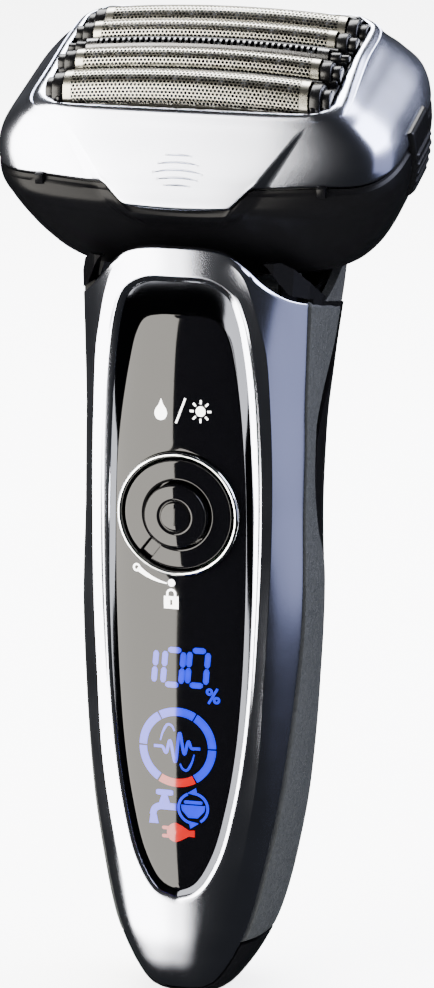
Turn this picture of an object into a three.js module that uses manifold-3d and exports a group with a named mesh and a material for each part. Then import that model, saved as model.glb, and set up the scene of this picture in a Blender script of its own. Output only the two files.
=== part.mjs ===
// A five-element foil shaver: a hand-held wet and dry razor with a floating, tilting head.
// Millimetres, +Z up along the handle, the front faces -Y. The origin is on the flat foot under the handle.
// The head group has its own frame: its origin is the flex pivot and its Z is the direction the foils face.
import * as THREE from "three";
import { mergeVertices } from "three/addons/utils/BufferGeometryUtils.js";
import Module from "manifold-3d";

const wasm = await Module();
wasm.setup();

// ---------------------------------------------------------------- driving dimensions
const GAP = 0.3; // clearance between neighbouring pieces
const HANDLE = { height: 130, width: 39.2, front: -9.2, back: 23, wall: 2.4, skin: 1.2, segments: 28 };
const PANEL = { top: 126.7, cornerX: 14.5, wingX: 26, wingZ: 115.5, wingY: 1.6 };
const WINDOW = { bottom: 17.5, top: 121, halfWidth: 12.3, recess: 1, topRecess: 2.6, glass: 1.1 };
const LENS = { bottomMargin: 0.8, topMargin: 6, sideMargin: 1.1 };
const DIAL = { z: 82.4, ringOuter: 10.3, ringInner: 9.5, outer: 9.2, inner: 5.6, front: -8.9, back: -6.2, notch: 3 };
const DIAL_NOTCH_ANGLE = THREE.MathUtils.degToRad(38); // from straight down towards -X
const BUTTON = { radius: 5.3, front: -10.7, depth: 3.2, flange: 6.4, stem: 1.7, travel: 0.5 };
const BOARD = { halfWidth: 12, bottom: 24, top: 108, y: -1.4, thickness: 1.2 };
const DISPLAY = { halfWidth: 8, bottom: 27, top: 64, depth: 2.4 };
const CELL = { radius: 7, length: 49, bottom: 37, y: 11.2 };
const SOCKET = { halfX: 3.6, y0: 1.7, y1: 6.9, wall: 0.9, height: 14, floor: 7, pin: 0.7, pinX: 1.3 };
const SCREW = { head: 1.9, headHeight: 1.2, shank: 0.9, length: 5 };
const PIVOT = { y: 16.5, z: 132.9, tilt: THREE.MathUtils.degToRad(19) };
const FLOAT_TRAVEL = 1.5;
const NECK_PLANE = -14.5; // in the head's frame: nothing of the handle rises past it behind the chin
const STEM = { radius: 4, y: -5, length: 5.5, post: 2.4, skirt: 9.4, skirtZ: -8, skirtThickness: 1 };
const GIMBAL = { inner: 5, outer: 7.2, height: 2.2, pin: 0.8, z: -2.6, lug: 9.6 };
const HEAD = { halfWidth: 34.4, bottom: -9, wall: 1.8, segments: 36, seam: 11.2, floor: 0.2, floorTop: 1.4 };
const CHIN = { z: 8.4, halfX: 10.4, step: 2.6 };
const RIM = { frontY: -15.6, frontZ: 22.3, backY: 10.5, backZ: 25 };
const CASSETTE = { halfX: 23.9, halfY: 14.9, chamfer: 3, bottom: 15.6, railTop: 18.6, wall: 0.6, endX: 21 };
const FOIL = { halfLength: 20.6, bow: 1.1, sheet: 0.35, crown: 27.1, skirt: 5.4, travel: 1.2 };
const OUTER_FOIL = { y: 11.55, halfWidth: 3.1 };
const MID_FOIL = { y: 5.05, halfWidth: 2.25 };
const SLIT = { halfWidth: 1.4, crown: 26.9, teeth: 12 };
const BLADE = { base: 17.8, baseHeight: 1.4, teeth: 10, tooth: 0.7, halfLength: 18, stroke: 1 };
const MOVER = { halfX: 13, z: 6.4, thickness: 1.4, post: 0.9, magnet: 1.2 };
const MOTOR = { halfX: 15, halfY: 11, coreX: 9.5, coreY: 5 };
const DECK = { z: 10.4, thickness: 1.2 };
const RELEASE = { y0: -4.5, y1: 5.5, z0: 2, z1: 13.6, proud: 0.9, depth: 2.2, travel: 1.2 };
const TRIMMER = { halfWidth: 10.5, z: 88, length: 24, thickness: 3, travel: 8, teeth: 11, slope: 0.19 };

// ---------------------------------------------------------------- colours and finishes
const finish = (color, roughness, metalness) => new THREE.MeshStandardMaterial({ color, roughness, metalness });
const SILVER = finish(0xb9bdc4, 0.28, 0.9);
const CHROME = finish(0xe4e6ea, 0.08, 1);
const FOIL_STEEL = finish(0xc9c7c0, 0.25, 1);
const BLADE_STEEL = finish(0xaeb0b2, 0.3, 1);
const BLACK_SATIN = finish(0x101112, 0.4, 0);
const BLACK_GLOSS = finish(0x060607, 0.08, 0);
const RUBBER = finish(0x2a2d2f, 0.75, 0);
const GREY_PLASTIC = finish(0x4b4e52, 0.5, 0);
const GREEN_BOARD = finish(0x1d4a2c, 0.5, 0);
const COPPER = finish(0xb06a3a, 0.35, 1);
const NICKEL = finish(0xa8a9aa, 0.3, 1);
const IRON = finish(0x55585c, 0.5, 0.8);
const CELL_WRAP = finish(0x2f6fa8, 0.4, 0);

// ---------------------------------------------------------------- shape helpers
// A closed three.js geometry as a solid that can be cut and joined.
function solid(geometry) {
  const bare = new THREE.BufferGeometry();
  bare.setAttribute("position", geometry.getAttribute("position").clone());
  if (geometry.index) bare.setIndex(geometry.index.clone());
  const merged = mergeVertices(bare, 1e-4);
  return new wasm.Manifold(
    new wasm.Mesh({
      numProp: 3,
      vertProperties: new Float32Array(merged.attributes.position.array),
      triVerts: new Uint32Array(merged.index.array),
    }),
  );
}

function geometryOf(made) {
  const mesh = made.getMesh();
  const positions = new Float32Array(mesh.numVert * 3);
  for (let i = 0; i < mesh.numVert; i++) {
    positions.set(mesh.vertProperties.subarray(i * mesh.numProp, i * mesh.numProp + 3), i * 3);
  }
  const geometry = new THREE.BufferGeometry();
  geometry.setAttribute("position", new THREE.BufferAttribute(positions, 3));
  geometry.setIndex(new THREE.BufferAttribute(new Uint32Array(mesh.triVerts), 1));
  return geometry;
}

const box = (x0, x1, y0, y1, z0, z1) =>
  solid(
    new THREE.BoxGeometry(x1 - x0, y1 - y0, z1 - z0).translate((x0 + x1) / 2, (y0 + y1) / 2, (z0 + z1) / 2),
  );

const cylinderZ = (radius, x, y, z0, z1, sides = 20) =>
  solid(
    new THREE.CylinderGeometry(radius, radius, z1 - z0, sides)
      .rotateX(Math.PI / 2)
      .translate(x, y, (z0 + z1) / 2),
  );

const cylinderY = (radius, x, z, y0, y1, sides = 32) =>
  solid(new THREE.CylinderGeometry(radius, radius, y1 - y0, sides).translate(x, (y0 + y1) / 2, z));

const cylinderX = (radius, y, z, x0, x1, sides = 20) =>
  solid(
    new THREE.CylinderGeometry(radius, radius, x1 - x0, sides)
      .rotateZ(Math.PI / 2)
      .translate((x0 + x1) / 2, y, z),
  );

const shapeOf = (points) => new THREE.Shape(points.map(([u, v]) => new THREE.Vector2(u, v)));

// An outline drawn in X and Z, as seen from the front, carried from y0 to y1.
const prismY = (points, y0, y1) =>
  solid(
    new THREE.ExtrudeGeometry(shapeOf(points), { depth: y1 - y0, bevelEnabled: false })
      .rotateX(Math.PI / 2)
      .translate(0, y1, 0),
  );

// An outline drawn in Y and Z, as seen from the +X side, carried from x0 to x1.
const prismX = (points, x0, x1) =>
  solid(
    new THREE.ExtrudeGeometry(shapeOf(points), { depth: x1 - x0, bevelEnabled: false })
      .rotateX(Math.PI / 2)
      .rotateZ(Math.PI / 2)
      .translate(x0, 0, 0),
  );

// A point of a rounded section: half-width, front and back depths from the widest line, and a squareness.
function sectionPoint(row, angle) {
  const [c, s] = [Math.cos(angle), Math.sin(angle)].map((value) => (Math.abs(value) < 1e-6 ? 0 : value));
  const squareness = s < 0 ? row.frontPower : row.backPower;
  const reach = s < 0 ? row.mid - row.front : row.back - row.mid;
  return [
    row.half * Math.sign(c) * Math.abs(c) ** (2 / squareness),
    reach * Math.sign(s) * Math.abs(s) ** (2 / squareness),
  ];
}

// A closed body through a stack of rounded sections.
function loft(rows, segments) {
  const geometry = new THREE.CylinderGeometry(1, 1, 1, segments, rows.length - 1);
  const position = geometry.getAttribute("position");
  for (let i = 0; i < position.count; i++) {
    const row = rows[Math.round((position.getY(i) + 0.5) * (rows.length - 1))];
    const rho = Math.hypot(position.getX(i), position.getZ(i));
    const [x, y] = sectionPoint(row, Math.atan2(-position.getZ(i), position.getX(i)));
    position.setXYZ(i, x * rho, row.mid + y * rho, row.z);
  }
  return solid(geometry);
}

const mirrored = (points) => [...points, ...points.toReversed().map(([x, z]) => [-x, z])];

const shaver = new THREE.Group();
const head = new THREE.Group();
head.position.set(0, PIVOT.y, PIVOT.z);
head.rotation.x = PIVOT.tilt;
shaver.add(head);
head.updateMatrix();

const TRIM = 0.05; // slivers shallower than this are smoothed away, far inside every clearance
function place(group, name, made, material) {
  const mesh = new THREE.Mesh(geometryOf(made.simplify(TRIM)), material);
  mesh.name = name;
  group.add(mesh);
}

// A solid drawn in the head's frame, as it stands in the handle's frame.
const fromHead = (made) => solid(geometryOf(made).applyMatrix4(head.matrix));

// ---------------------------------------------------------------- the handle's outer form
// Stations up the handle: height, half-width share, offsets of front and back, and the Y of the widest line.
const STATIONS = [
  [0, 0.3, 3.6, -14.4, 1.6],
  [1, 0.365, 2.2, -13.4, 2],
  [2.8, 0.44, 1, -12.4, 2.6],
  [6.5, 0.56, 0.2, -11, 3.6],
  [12.5, 0.695, -0.4, -7.5, 4.8],
  [21, 0.8, -0.5, -4, 5.8],
  [34, 0.91, -0.3, -1.7, 6.4],
  [50, 0.975, -0.1, -0.6, 6.8],
  [66, 1.01, 0, 0, 7.2],
  [84, 0.985, 0, 0.8, 7.8],
  [97, 0.99, -0.1, 1.9, 9.6],
  [108, 1.02, -0.2, 4.2, 12.4],
  [118, 1.06, -0.3, 7.2, 15.6],
  [124, 1.08, -0.3, 9, 17],
  [138, 1.1, -0.1, 11, 18],
];

// Sections of the handle, taken in by inset all round, from z = floor up.
function handleRows(inset, floor = 0) {
  return STATIONS.map(([z, half, front, back, mid]) => ({
    z: floor + z * ((HANDLE.height - floor) / HANDLE.height),
    half: (half * HANDLE.width) / 2 - inset,
    front: HANDLE.front + front + inset,
    back: HANDLE.back + back - inset,
    mid,
    frontPower: 2.9,
    backPower: 2.3,
  }));
}

const FAR = 90;
const outerForm = loft(handleRows(0), HANDLE.segments);
const innerForm = loft(handleRows(HANDLE.wall, HANDLE.wall), HANDLE.segments);
const skinForm = loft(handleRows(HANDLE.skin, HANDLE.skin), HANDLE.segments);
const clearForm = loft(handleRows(HANDLE.wall + GAP, HANDLE.wall + GAP), HANDLE.segments);

// Side view: how far back the silver panel's wings reach, from foot to shoulder.
const WING_LINE = [
  [-7.4, -4],
  [-6.6, 3],
  [-4.6, 24],
  [-0.8, 58],
  [PANEL.wingY, 92],
  [PANEL.wingY, HANDLE.height + 20],
];
const behindWings = (gap) =>
  prismX([...WING_LINE.map(([y, z]) => [y + gap, z]), [FAR, HANDLE.height + 20], [FAR, -4]], -FAR, FAR);

// Front view: the panel's top edge, a flat crown that sweeps down to the wing tips.
const TOP_EDGE = [
  [PANEL.wingX, PANEL.wingZ],
  [PANEL.cornerX + 6, PANEL.wingZ + 0.8],
  [PANEL.cornerX + 2.6, PANEL.wingZ + 3],
  [PANEL.cornerX, PANEL.top - 3.6],
  [PANEL.cornerX - 2.6, PANEL.top - 0.8],
  [PANEL.cornerX - 6, PANEL.top],
];
const belowTopEdge = (gap) =>
  prismY(mirrored([[PANEL.wingX, -5], ...TOP_EDGE.map(([x, z]) => [x, z + gap])]), -FAR, FAR);

// The room the head sweeps as it sinks, rolls and pitches, over the collar.
const SWEPT = [
  [NECK_PLANE, 28, -14.2, 20.4],
  [NECK_PLANE + 3.7, 32, -17.6, 22.8],
  [NECK_PLANE + 8, 35, -20.6, 24.4],
  [NECK_PLANE + 13, 38, -23.4, 25.6],
  [NECK_PLANE + 54, 42, -30, 32],
];
const plainRow = ([z, half, front, back]) => ({ z, half, front, back, mid: 0, frontPower: 2.6, backPower: 2.6 });
const underHead = fromHead(loft(SWEPT.map(plainRow), HEAD.segments));

// Front view of the window's opening, and of the lens inside it: a long drop with a squared top.
function windowOutline(grow, bottom, top, halfWidth) {
  const points = [];
  const steps = 9;
  const waist = bottom + (top - bottom) * 0.62;
  for (let i = 0; i <= steps; i++) {
    const a = (-Math.PI / 2) * (1 - Math.max(i, 0.3) / steps);
    points.push([
      (halfWidth + grow) * Math.cos(a) ** 0.72,
      waist + (waist - bottom + grow) * Math.sin(a),
    ]);
  }
  const corner = halfWidth * 0.42;
  const shoulder = halfWidth * 0.92;
  for (let i = 0; i <= 4; i++) {
    const a = (Math.PI / 2) * (i / 4);
    points.push([shoulder - corner + (corner + grow) * Math.cos(a), top - corner + (corner + grow) * Math.sin(a)]);
  }
  return mirrored(points);
}
const opening = (grow) => prismY(windowOutline(grow, WINDOW.bottom, WINDOW.top, WINDOW.halfWidth), -FAR, 0);
const lensOutline = (grow) =>
  prismY(
    windowOutline(
      grow,
      WINDOW.bottom + LENS.bottomMargin,
      WINDOW.top - LENS.topMargin,
      WINDOW.halfWidth - LENS.sideMargin,
    ),
    -FAR,
    0,
  );

// The handle's front set back by the window's recess, which deepens towards the top.
function recessedForm(extra) {
  const rows = handleRows(0).map((row) => {
    const rise = THREE.MathUtils.smoothstep(row.z, DIAL.z + 8, WINDOW.top);
    const recess = THREE.MathUtils.lerp(WINDOW.recess, WINDOW.topRecess, rise) + extra;
    return { ...row, front: row.front + recess };
  });
  return loft(rows, HANDLE.segments);
}

// ---------------------------------------------------------------- handle shells
const frontPanel = outerForm
  .subtract(innerForm)
  .subtract(behindWings(0))
  .intersect(belowTopEdge(0))
  .subtract(opening(0));

// The side grips: soft pads in the outer skin, from the wings back to the rear cover.
const GRIP = { bottom: 9, top: 110, back: 19 };
const GRIP_BACK = [
  [12.8, 104.8],
  [8.8, 99.2],
  [6.4, 94.5],
  [5.9, 87],
  [7.5, 78],
  [12.2, 70],
  [15.5, 60],
  [17, 48],
  [16.5, 36],
  [13.5, 22],
  [9.8, 13],
];
function gripZone(gap) {
  const line = WING_LINE.filter(([, z]) => z > GRIP.bottom && z < GRIP.top);
  return prismX(
    [
      [-5.9 + GAP - gap, GRIP.bottom - gap],
      ...line.map(([y, z]) => [y + GAP - gap, z]),
      [PANEL.wingY + GAP - gap, GRIP.top + gap],
      [GRIP.back - 2 + gap, GRIP.top + gap],
      ...GRIP_BACK.map(([y, z]) => [y + gap, z]),
      [GRIP.back - 12 + gap, GRIP.bottom - gap],
    ],
    -FAR,
    FAR,
  );
}
const sideHalf = (side, x) => (side < 0 ? box(-FAR, -x, -FAR, FAR, -FAR, FAR * 2) : box(x, FAR, -FAR, FAR, -FAR, FAR * 2));
const grip = (side) => outerForm.subtract(skinForm).intersect(gripZone(0)).intersect(sideHalf(side, 3));

const socketBore = box(
  -SOCKET.halfX - GAP,
  SOCKET.halfX + GAP,
  SOCKET.y0 - GAP,
  SOCKET.y1 + GAP,
  -1,
  HANDLE.wall + 6,
);

// The trimmer lies in a pocket in the back, on a slide that leans with the surface.
function inTrimmer(made) {
  const matrix = new THREE.Matrix4().makeRotationX(-TRIMMER.slope);
  return solid(geometryOf(made).applyMatrix4(matrix).translate(0, HANDLE.back - 2.6, TRIMMER.z));
}
const trimmerPocket = inTrimmer(
  box(-TRIMMER.halfWidth - GAP, TRIMMER.halfWidth + GAP, -GAP, FAR, -GAP, TRIMMER.length + 40),
);
const COLLAR = { seam: 112.5, front: -3.8, back: 3, thickness: 2.2 };
const pocketWall = 1.4;

// The rear cover runs on under the grips, a gap below the soft skin.
const innerGrip = loft(handleRows(HANDLE.skin + GAP, HANDLE.skin + GAP), HANDLE.segments);

function rearCover() {
  const pocketBlock = inTrimmer(
    box(
      -TRIMMER.halfWidth - GAP - pocketWall,
      TRIMMER.halfWidth + GAP + pocketWall,
      -GAP - pocketWall,
      20,
      -GAP - pocketWall,
      TRIMMER.length + 40,
    ),
  ).intersect(outerForm);
  return outerForm
    .subtract(innerForm)
    .intersect(behindWings(GAP))
    .subtract(gripZone(GAP).subtract(innerGrip))
    .add(pocketBlock)
    .subtract(trimmerPocket)
    .subtract(socketBore)
    .subtract(box(-FAR, FAR, -FAR, FAR, COLLAR.seam - GAP, FAR * 3));
}
// The collar closes the top of the handle round the neck, with a deck and sleeve for the float carrier.
function shoulderCollar() {
  const seam = COLLAR.seam;
  const deck = clearForm
    .intersect(box(-FAR, FAR, COLLAR.front, COLLAR.back, seam, seam + COLLAR.thickness))
    .add(outerForm.intersect(box(-FAR, FAR, COLLAR.back, FAR, seam, seam + COLLAR.thickness)));
  const shell = outerForm
    .subtract(innerForm)
    .intersect(box(-FAR, FAR, COLLAR.back, FAR, seam, FAR * 3))
    .add(
      outerForm
        .subtract(innerForm)
        .intersect(box(-FAR, FAR, -FAR, COLLAR.back, seam, PANEL.top - 2.5))
        .subtract(belowTopEdge(GAP)),
    );
  const sleeve = fromHead(cylinderZ(STEM.radius + 2, 0, STEM.y, NECK_PLANE - 7, NECK_PLANE - 0.6, 24));
  const bore = fromHead(cylinderZ(STEM.radius + GAP, 0, STEM.y, NECK_PLANE - 40, NECK_PLANE + 20, 24));
  return deck.add(shell).add(sleeve).subtract(bore).subtract(trimmerPocket).subtract(underHead);
}

place(shaver, "front_panel", frontPanel, SILVER);
place(shaver, "grip_left", grip(-1), RUBBER);
place(shaver, "grip_right", grip(1), RUBBER);
place(shaver, "rear_cover", rearCover(), BLACK_SATIN);
place(shaver, "shoulder_collar", shoulderCollar(), BLACK_SATIN);

// ---------------------------------------------------------------- window, dial and button
const frontY = HANDLE.front; // the panel's front at the dial
const dialHole = (radius) => cylinderY(radius, 0, DIAL.z, -FAR, 0, 40);
const bezel = recessedForm(0)
  .subtract(recessedForm(WINDOW.glass + 0.5))
  .intersect(opening(-GAP))
  .subtract(lensOutline(GAP));
const lens = recessedForm(0.3)
  .subtract(recessedForm(WINDOW.glass + 0.3))
  .intersect(lensOutline(0))
  .subtract(dialHole(DIAL.ringOuter + GAP));
const lensFoot = DIAL.back;
const trimRing = cylinderY(DIAL.ringOuter, 0, DIAL.z, frontY + 0.5, lensFoot, 40).subtract(
  dialHole(DIAL.ringInner),
);
const notch = cylinderY(DIAL.notch, 0, 0, -FAR, 0, 20).translate([
  -(DIAL.outer + 1.2) * Math.sin(DIAL_NOTCH_ANGLE),
  0,
  DIAL.z - (DIAL.outer + 1.2) * Math.cos(DIAL_NOTCH_ANGLE),
]);
const lockDial = cylinderY(DIAL.outer, 0, DIAL.z, DIAL.front, DIAL.back, 40)
  .subtract(dialHole(DIAL.inner))
  .subtract(notch.intersect(box(-FAR, FAR, -FAR, DIAL.front + 1, -FAR, FAR * 2)));
const buttonBack = BUTTON.front + BUTTON.depth;
const powerButton = cylinderY(BUTTON.radius, 0, DIAL.z, BUTTON.front, DIAL.back + GAP, 32)
  .add(cylinderY(BUTTON.flange, 0, DIAL.z, DIAL.back + GAP, DIAL.back + 1.1, 32))
  .add(cylinderY(BUTTON.stem, 0, DIAL.z, DIAL.back + 1, -4.9, 20));
const switchFront = -4.9 + GAP;
const sealBody = cylinderY(BUTTON.flange + 1.4, 0, DIAL.z, -4.9 + 0.55, -4.9 + 1.35, 32).subtract(
  dialHole(BUTTON.stem + 1.2),
);
const tactSwitch = cylinderY(BUTTON.stem - 0.4, 0, DIAL.z, switchFront + BUTTON.travel, -3.2, 16).add(
  box(-3, 3, -3.4, BOARD.y - GAP, DIAL.z - 3, DIAL.z + 3),
);

place(shaver, "window_bezel", bezel, CHROME);
place(shaver, "window_lens", lens, BLACK_GLOSS);
place(shaver, "dial_ring", trimRing, CHROME);
place(shaver, "lock_dial", lockDial, CHROME);
place(shaver, "power_button", powerButton, CHROME);
place(shaver, "button_seal", sealBody, RUBBER);
place(shaver, "power_switch", tactSwitch, GREY_PLASTIC);

// ---------------------------------------------------------------- inside the handle
const display = box(
  -DISPLAY.halfWidth,
  DISPLAY.halfWidth,
  BOARD.y - GAP - DISPLAY.depth,
  BOARD.y - GAP,
  DISPLAY.bottom,
  DISPLAY.top,
);
const boardOutline = [
  [BOARD.halfWidth - 3.5, BOARD.bottom],
  [BOARD.halfWidth, BOARD.bottom + 10],
  [BOARD.halfWidth, BOARD.top],
];
const board = prismY(mirrored(boardOutline), BOARD.y, BOARD.y + BOARD.thickness);
const chassisY = BOARD.y + BOARD.thickness + GAP;
const cellTop = CELL.bottom + CELL.length;
const cradle = CELL.radius + GAP;
const screwX = BOARD.halfWidth - 1.8;
const boardScrewZ = [BOARD.bottom + 12, BOARD.top - 6];
const boardScrews = boardScrewZ.flatMap((z) => [-screwX, screwX].map((x) => [x, z]));
const screwBore = (x, z, radius, y0, y1) => cylinderY(radius, x, z, y0, y1, 12);

function chassis() {
  const plate = box(-13, 13, chassisY, chassisY + 2, BOARD.bottom, BOARD.top + 2);
  const cradles = [CELL.bottom + 6, cellTop - 9].map((z) =>
    box(-9.6, 9.6, chassisY + 1, CELL.y + 3, z, z + 3),
  );
  const ends = [
    box(-8, 8, chassisY + 1, CELL.y + 5, CELL.bottom - 4.2, CELL.bottom - 2.4),
    box(-8, 8, chassisY + 1, CELL.y + 5, cellTop + 2.4, cellTop + 4.2),
  ];
  const bosses = boardScrews.map(([x, z]) => box(x - 2, x + 2, chassisY, chassisY + 5.5, z - 2, z + 2));
  let made = plate;
  for (const piece of [...cradles, ...ends, ...bosses]) made = made.add(piece);
  made = made.subtract(cylinderZ(cradle, 0, CELL.y, CELL.bottom - 1.6, cellTop + 1.6, 28));
  for (const [x, z] of boardScrews) made = made.subtract(screwBore(x, z, SCREW.shank + 0.15, chassisY - 1, chassisY + 4.8));
  return made.intersect(clearForm);
}
const boardBored = boardScrews.reduce(
  (made, [x, z]) => made.subtract(screwBore(x, z, SCREW.shank + GAP, -FAR, FAR)),
  board,
);
const cellTip = 1.2;
const cell = cylinderZ(CELL.radius, 0, CELL.y, CELL.bottom, cellTop, 28).add(
  cylinderZ(2.4, 0, CELL.y, cellTop - 0.1, cellTop + cellTip, 16),
);
const tabAt = (z0) =>
  box(-2.5, 2.5, CELL.y - 3, CELL.y + 3, z0, z0 + 0.4);

const socketTop = SOCKET.height;
const shell = box(-SOCKET.halfX, SOCKET.halfX, SOCKET.y0, SOCKET.y1, 0.4, socketTop);
const pins = [-SOCKET.pinX, SOCKET.pinX];
const socketMidY = (SOCKET.y0 + SOCKET.y1) / 2;
let socket = shell
  .subtract(
    box(
      -SOCKET.halfX + SOCKET.wall,
      SOCKET.halfX - SOCKET.wall,
      SOCKET.y0 + SOCKET.wall,
      SOCKET.y1 - SOCKET.wall,
      -1,
      SOCKET.floor,
    ),
  )
  .add(box(-SOCKET.halfX - 2.4, SOCKET.halfX + 2.4, SOCKET.y0 - 1.6, SOCKET.y1 + 1.6, 9.4, 11));
for (const x of pins) socket = socket.subtract(cylinderZ(SOCKET.pin + 0.1, x, socketMidY, SOCKET.floor - 1, socketTop + 1, 12));
const inletSeal = box(
  -SOCKET.halfX - 1.6,
  SOCKET.halfX + 1.6,
  SOCKET.y0 - 1.2,
  SOCKET.y1 + 1.2,
  8.2,
  9.1,
).subtract(box(-SOCKET.halfX - GAP, SOCKET.halfX + GAP, SOCKET.y0 - GAP, SOCKET.y1 + GAP, 5, 12));

place(shaver, "display_module", display, BLACK_GLOSS);
place(shaver, "main_board", boardBored, GREEN_BOARD);
place(shaver, "inner_chassis", chassis(), GREY_PLASTIC);
place(shaver, "battery_cell", cell, CELL_WRAP);
place(shaver, "battery_tab_bottom", tabAt(CELL.bottom - 1), NICKEL);
place(shaver, "battery_tab_top", tabAt(cellTop + cellTip + GAP), NICKEL);
place(shaver, "inlet_socket", socket, BLACK_SATIN);
place(shaver, "inlet_seal", inletSeal, RUBBER);
["left", "right"].forEach((side, i) =>
  place(
    shaver,
    `inlet_pin_${side}`,
    cylinderZ(SOCKET.pin, pins[i], socketMidY, 2.4, socketTop + 1.6, 12),
    NICKEL,
  ),
);
boardScrews.forEach(([x, z], i) =>
  place(
    shaver,
    `board_screw_${i + 1}`,
    screwBore(x, z, SCREW.head, BOARD.y - GAP - SCREW.headHeight, BOARD.y - GAP).add(
      screwBore(x, z, SCREW.shank, BOARD.y - GAP - 0.1, BOARD.y - GAP + SCREW.length),
    ),
    NICKEL,
  ),
);

// ---------------------------------------------------------------- pop-up trimmer
const teethOf = (count, halfWidth, width, y0, y1, z0, z1) =>
  Array.from({ length: count }, (_, i) => {
    const x = THREE.MathUtils.lerp(-halfWidth + width / 2, halfWidth - width / 2, i / (count - 1));
    return box(x - width / 2, x + width / 2, y0, y1, z0, z1);
  });
const joined = (pieces) => pieces.reduce((made, piece) => made.add(piece));
const T = TRIMMER;
const trimmerBody = joined([
  box(-T.halfWidth, T.halfWidth, 0, T.thickness, 0, T.length),
  ...[0, 1, 2].map((i) => box(-7, 7, T.thickness - 0.1, T.thickness + 0.7, 5 + i * 3, 6 + i * 3)),
]);
const combZ = T.length + GAP;
const trimmerComb = joined([
  box(-T.halfWidth + 0.6, T.halfWidth - 0.6, 1.9, 2.7, combZ, combZ + 2.4),
  ...teethOf(T.teeth, T.halfWidth - 0.6, 0.8, 1.9, 2.7, combZ + 2.3, combZ + 4.4),
]);
const trimmerCutter = joined([
  box(-T.halfWidth + 1.8, T.halfWidth - 1.8, 0.8, 1.6, combZ, combZ + 2.2),
  ...teethOf(T.teeth - 2, T.halfWidth - 1.8, 0.8, 0.8, 1.6, combZ + 2.1, combZ + 4),
]);
place(shaver, "trimmer_slide", inTrimmer(trimmerBody), GREY_PLASTIC);
place(shaver, "trimmer_comb", inTrimmer(trimmerComb), BLADE_STEEL);
place(shaver, "trimmer_cutter", inTrimmer(trimmerCutter), BLADE_STEEL);

// ---------------------------------------------------------------- the float carrier and gimbal
const carrier = joined([
  cylinderZ(STEM.radius, 0, STEM.y, NECK_PLANE - STEM.length, STEM.skirtZ + 0.5, 24),
  cylinderZ(STEM.skirt, 0, 0, STEM.skirtZ, STEM.skirtZ + STEM.skirtThickness, 32),
  cylinderZ(STEM.post, 0, 0, STEM.skirtZ + 0.5, GIMBAL.z + 1.2, 20),
  cylinderY(GIMBAL.pin, 0, GIMBAL.z, -GIMBAL.outer + 0.3, GIMBAL.outer - 0.3, 14),
]);
const gimbalY = cylinderY(GIMBAL.pin + 0.2, 0, GIMBAL.z, -FAR, FAR, 14);
const gimbalRing = cylinderZ(GIMBAL.outer, 0, 0, GIMBAL.z - GIMBAL.height / 2, GIMBAL.z + GIMBAL.height / 2, 32)
  .subtract(cylinderZ(GIMBAL.inner, 0, 0, -FAR, FAR, 28))
  .add(cylinderX(GIMBAL.pin, 0, GIMBAL.z, -GIMBAL.lug - 0.4, -GIMBAL.inner - 0.6, 14))
  .add(cylinderX(GIMBAL.pin, 0, GIMBAL.z, GIMBAL.inner + 0.6, GIMBAL.lug + 0.4, 14))
  .subtract(gimbalY);
place(head, "float_carrier", carrier, GREY_PLASTIC);
place(head, "gimbal_ring", gimbalRing, GREY_PLASTIC);

// ---------------------------------------------------------------- head shells
// Sections up the head: height, half-width, front, back.
const HEAD_FORM = [
  [HEAD.bottom, 0.745, -14.5, 20.6, 3],
  [-5.5, 0.84, -17.4, 22.2, 3],
  [-1, 0.915, -19.9, 22.9, 3.2],
  [4.5, 0.975, -22, 22.9, 3.6],
  [8.4, 0.995, -23.3, 22.3, 4],
  [12, 0.99, -21.9, 21.6, 4.6],
  [16, 0.955, -19.6, 19.9, 6],
  [19.5, 0.87, -17.8, 18.1, 7],
  [22.4, 0.775, -16.3, 16.7, 8],
  [26, 0.735, -15.7, 16, 8],
];
const headRows = (inset) =>
  HEAD_FORM.map(([z, half, front, back, power]) => ({
    z,
    half: half * HEAD.halfWidth - inset,
    front: front + inset,
    back: back - inset,
    mid: 0,
    frontPower: power,
    backPower: power,
  }));
const headForm = loft(headRows(0), HEAD.segments);
const headInner = loft(headRows(HEAD.wall), HEAD.segments);
const chinLine = (gap) => [
  [FAR, HEAD.seam + gap],
  [CHIN.halfX + CHIN.step, HEAD.seam + gap],
  [CHIN.halfX, CHIN.z + gap],
];
const aboveChin = (gap) =>
  prismY(mirrored([[FAR, FAR], ...chinLine(gap)]).map(([x, z]) => [x, z]), -FAR, 0).add(
    box(-FAR, FAR, -0.01, FAR, HEAD.seam + gap, FAR),
  );
const belowRim = prismX(
  [
    [-FAR, RIM.frontZ - ((RIM.frontY + FAR) * (RIM.backZ - RIM.frontZ)) / (RIM.backY - RIM.frontY)],
    [FAR, RIM.backZ + ((FAR - RIM.backY) * (RIM.backZ - RIM.frontZ)) / (RIM.backY - RIM.frontY)],
    [FAR, -FAR],
    [-FAR, -FAR],
  ],
  -FAR,
  FAR,
);
const pocketOf = (gap) =>
  [-1, 1].map((side) =>
    box(
      side < 0 ? -FAR : 26,
      side < 0 ? -26 : FAR,
      RELEASE.y0 - gap,
      RELEASE.y1 + gap,
      RELEASE.z0 - gap,
      RELEASE.z1 + gap,
    ),
  );
const bothPockets = joined(pocketOf(GAP));
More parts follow.
